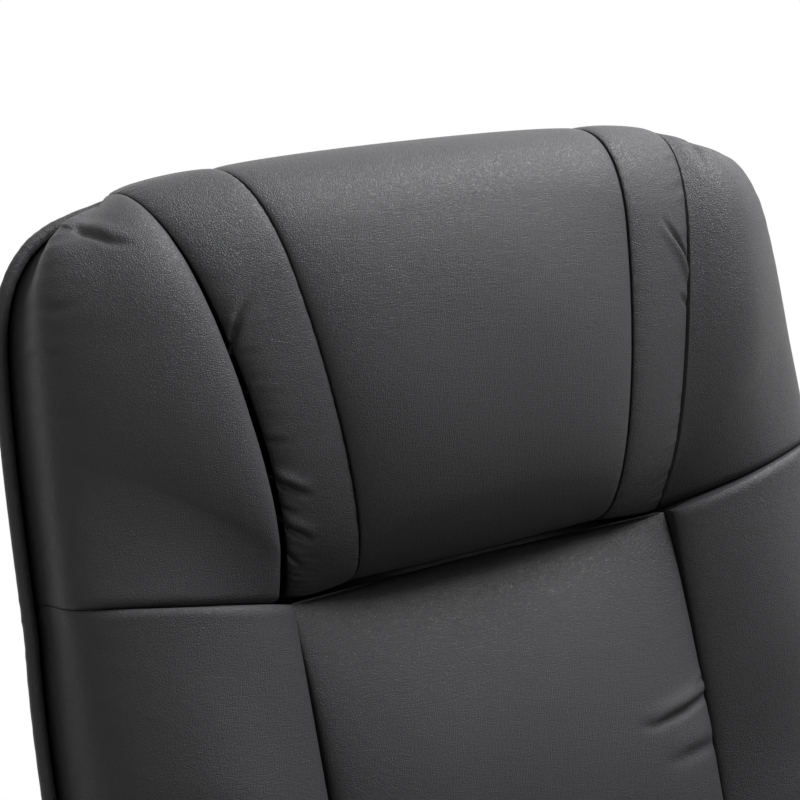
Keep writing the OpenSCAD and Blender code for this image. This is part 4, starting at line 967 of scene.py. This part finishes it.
# %% [markdown]
# ## Arms
# Each arm is a padded board: two side panels and a boxed edge, with a seam where they meet. A
# thick pad is sewn on top. Its seams run along both sides, and the leather gathers at its nose.
# The board's rings shrink from the edge to the middle of each side, so that the wrinkles can run
# along the edge.

# %% Arm measures
ARM_X, ARM_W, ARM_FRONT, ARM_LOW, ARM_TOP = 256.0, 80.0, 352.0, 250.0, 534.0
ARM_R, ARM_BEHIND, EDGE_R = 30, 26, 9.6


def back_face_f(z):
    d = ARM_BEHIND + SEAM_OFF
    return -(PIVOT_Y - d * math.cos(LEAN) + (z - PIVOT_Z - d * math.sin(LEAN)) * math.tan(LEAN))


def arm_outline(radius, count):
    corners = np.array([[back_face_f(ARM_LOW), ARM_LOW], [ARM_FRONT, ARM_LOW], [ARM_FRONT, ARM_TOP],
                        [back_face_f(ARM_TOP), ARM_TOP]])
    points = []
    for i in range(4):
        p, a, b = corners[i], corners[i - 1] - corners[i], corners[(i + 1) % 4] - corners[i]
        a, b = a / np.linalg.norm(a), b / np.linalg.norm(b)
        half = math.acos(a @ b) / 2
        middle = p + (a + b) / np.linalg.norm(a + b) * radius / math.sin(half)
        g0 = math.atan2(*(p + a * radius / math.tan(half) - middle)[::-1])
        g1 = math.atan2(*(p + b * radius / math.tan(half) - middle)[::-1])
        sweep = (g1 - g0 + math.pi) % (2 * math.pi) - math.pi
        for k in range(count + 1):
            g = g0 + sweep * k / count
            points.append(middle + radius * np.array([math.cos(g), math.sin(g)]))
    return np.array(points)


def evenly(points, count):
    closed = np.vstack([points, points[:1]])
    l = run_length(closed)
    at = np.linspace(0, l[-1], count, endpoint=False)
    return np.stack([np.interp(at, l, closed[:, i]) for i in range(2)], -1), at


# %% Arm covers
# each row of a side: its share of the way out from the middle, and its depth in the board
SIDE_ROWS = [(0.04, 0.2), (0.2, 0.2), (0.4, 0.3), (0.6, 0.5), (0.75, 0.8), (0.86, 1.5), (0.93, 2.8),
             (0.965, 4.6), (0.982, 6.4), (0.990, 7.6), (0.9935, 8.8), (0.9965, 8.2), (0.999, EDGE_R)]
EDGE_ROWS = [(1.0, EDGE_R + (ARM_W - 2 * EDGE_R) * k / 10) for k in range(1, 10)]
arm_rows = SIDE_ROWS + EDGE_ROWS + [(share, ARM_W - x) for share, x in reversed(SIDE_ROWS)]


def arm_cover(side, name, seed):
    edge, at = evenly(arm_outline(ARM_R, 8), 420)
    middle = edge.mean(0)
    out = (edge - middle) / np.linalg.norm(edge - middle, axis=1, keepdims=True)
    rings = []
    for share, x in arm_rows:
        p = mix(middle, edge, share)
        if share == 1:
            crown = math.sin(math.pi * ((x - EDGE_R) / (ARM_W - 2 * EDGE_R)))
            from_face = abs(x - ARM_W / 2) - (ARM_W / 2 - EDGE_R)
            grow = gathers(at, 0 * at + from_face, reach=8, pitch=16, depth=0.25, seed=seed)
            p = p + out * (crown + grow)[:, None]
        flat = gathers(at, 0 * at + (1 - share) * 190, reach=16, pitch=18, depth=0.5, seed=seed + 1)
        calm = min(1, (1 - share) * 12)
        flat = flat + sway(p[:, 0], p[:, 1], size=150, depth=0.5, seed=seed + 2) * calm
        near = x < ARM_W / 2
        x_all = x - flat * (1 if near else -1) * (1 - share > 0.0005)
        x_all = np.maximum(x_all, 0.1) if near else np.minimum(x_all, ARM_W + 2.5)
        rings.append(np.stack([side * (ARM_X + x_all), -p[:, 0], p[:, 1]], -1))
    return closed_skin(name, np.array(rings))


for side, name, seed in ((1, "left", 81), (-1, "right", 85)):
    piece = arm_cover(side, "arm_panel_" + name, seed)
    finish_soft(piece, "seat", ["arm_cover_" + name])

# %% Arm pads
PAD_X, PAD_HALF, PAD_LOW, PAD_T, PAD_SEAM, SEAM_W = 294.0, 59, 534.3, 65.7, 552, 2.2
PAD_SHARES = [[0, 0.008, 0.03, 0.08, 0.25, 0.6, 0.88, 0.955, 0.987, 1],
              [0.4, 0.66, 0.86, 0.97, 1, 1, 0.98, 0.88, 0.68, 0.4]]


def arm_pad(side, name, seed):
    length = ease(np.linspace(0, 1, 170))
    k = np.interp(length, *PAD_SHARES)
    window = np.hanning(13)
    smooth = np.convolve(np.pad(k, 6, mode="edge"), window / window.sum(), mode="valid")
    k = np.where((length > 0.05) & (length < 0.93), smooth, k)[:, None]
    a = -np.linspace(0, 2 * np.pi, 96, endpoint=False)[None, :]
    flank = np.abs(np.cos(a)) > 0.5
    wide = PAD_HALF * (0.7 + 0.3 * k) * squared(np.cos(a), 0.55)
    up = squared(np.sin(a), 0.6)
    z = PAD_LOW + PAD_T / 2 * (1 + up * k)
    from_side_seam = np.abs(z - PAD_SEAM)
    wide = wide - np.sign(wide) * 1.8 * (np.exp(-(from_side_seam / SEAM_W) ** 2) * flank)
    f = mix(ARM_FRONT + 8, back_face_f(z) + 1, length[:, None])
    grow = gathers(f, from_side_seam, reach=14, pitch=21, depth=0.8, seed=seed) * (z > 540)
    grow = grow + sway(wide, f, size=110, depth=0.6, seed=seed + 1) * np.clip((z - 560) / 20, 0, 1)
    x = side * (PAD_X + wide + np.sign(wide) * grow * 0.6)
    piece = closed_skin(name, np.stack([x, -f, z + grow * (up > 0) * 0.8], -1))
    blow_up(piece, (z < 535.5) | (from_side_seam < 1.2) & flank, cap=4, slack=-0.02)
    return piece


for side, name, seed in ((1, "left", 91), (-1, "right", 95)):
    piece = arm_pad(side, "arm_rest_" + name, seed)
    finish_soft(piece, "seat", ["arm_pad_" + name])

# %% [markdown]
# ## Footrest
# The footrest is a padded board that folds away under the seat's front edge. Its leather has the
# same two seams as the seat, so that the lines run on when it is out. Its rings go round the pad
# from below, and only their front half stands out from the board.

# %% Footrest pad
FOOT_HALF, FOOT_T, FOOT_SEAM_DIP = 248.0, 45.7, 7
low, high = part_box("footrest_pad")
foot_low, foot_high, foot_rear = low.z * 1000, high.z * 1000, -high.y * 1000
seams = [-FOOT_HALF, -SEAT_SEAM, SEAT_SEAM, FOOT_HALF]
x = panel_steps(seams, 170)[:, None]
a = np.linspace(0, 2 * np.pi, 120, endpoint=False)[None, :]
k = swell(x / FOOT_HALF * 0.97, 8)
plump = between(x, seams)
up = squared(np.sin(a), 0.5)
out = np.where(np.cos(a) < 0, 0, np.abs(np.cos(a)) ** 0.6)
z = foot_low + (foot_high - foot_low) / 2 * (1 + up * mix(0.95, 1, k))
depth = FOOT_T * np.where(np.cos(a) < 0, 0, mix(0.25, 1, out) * mix(0.5, 1, k))
depth = depth - FOOT_SEAM_DIP * (1 - plump) * np.clip(out * 1.6 - 0.3, 0, 1) * (np.abs(x) < 240)
grow = gathers(z, from_seam(x, seams), reach=14, pitch=21, depth=0.9, seed=101)
grow = grow + sway(x + 0 * z, z, size=130, depth=0.9, seed=102) * plump
depth = depth + grow * (out > 0.5)
piece = closed_skin("footrest_leather", np.stack([x + 0 * z, -(foot_rear + depth), z], -1))
blow_up(piece, on_seam(x, seams) | (np.cos(a) < 0.05), cap=5, slack=-0.015)
finish_soft(piece, "footrest", ["footrest_pad"])

# %% [markdown]
# ## Moulded pieces
# Hands touch the lever and the two wheels, so their corners are round. Each is a merged copy of
# its CAD node with a bevel, which stands for the node and moves with the same body.

# %% Lever, wheels and bezel
for node, name, body, width, segments in (
    ("lever_handle", "lever_grip", "lever", 3.0, 4),
    ("recline_wheel_left", "wheel_grip_left", "wheel_left", 2.0, 3),
    ("recline_wheel_right", "wheel_grip_right", "wheel_right", 2.0, 3),
    ("lever_bezel", "lever_rosette", "seat", 1.2, 3),
):
    stand_for(round_corners(merged_copy(node, name), width, segments), node, body)
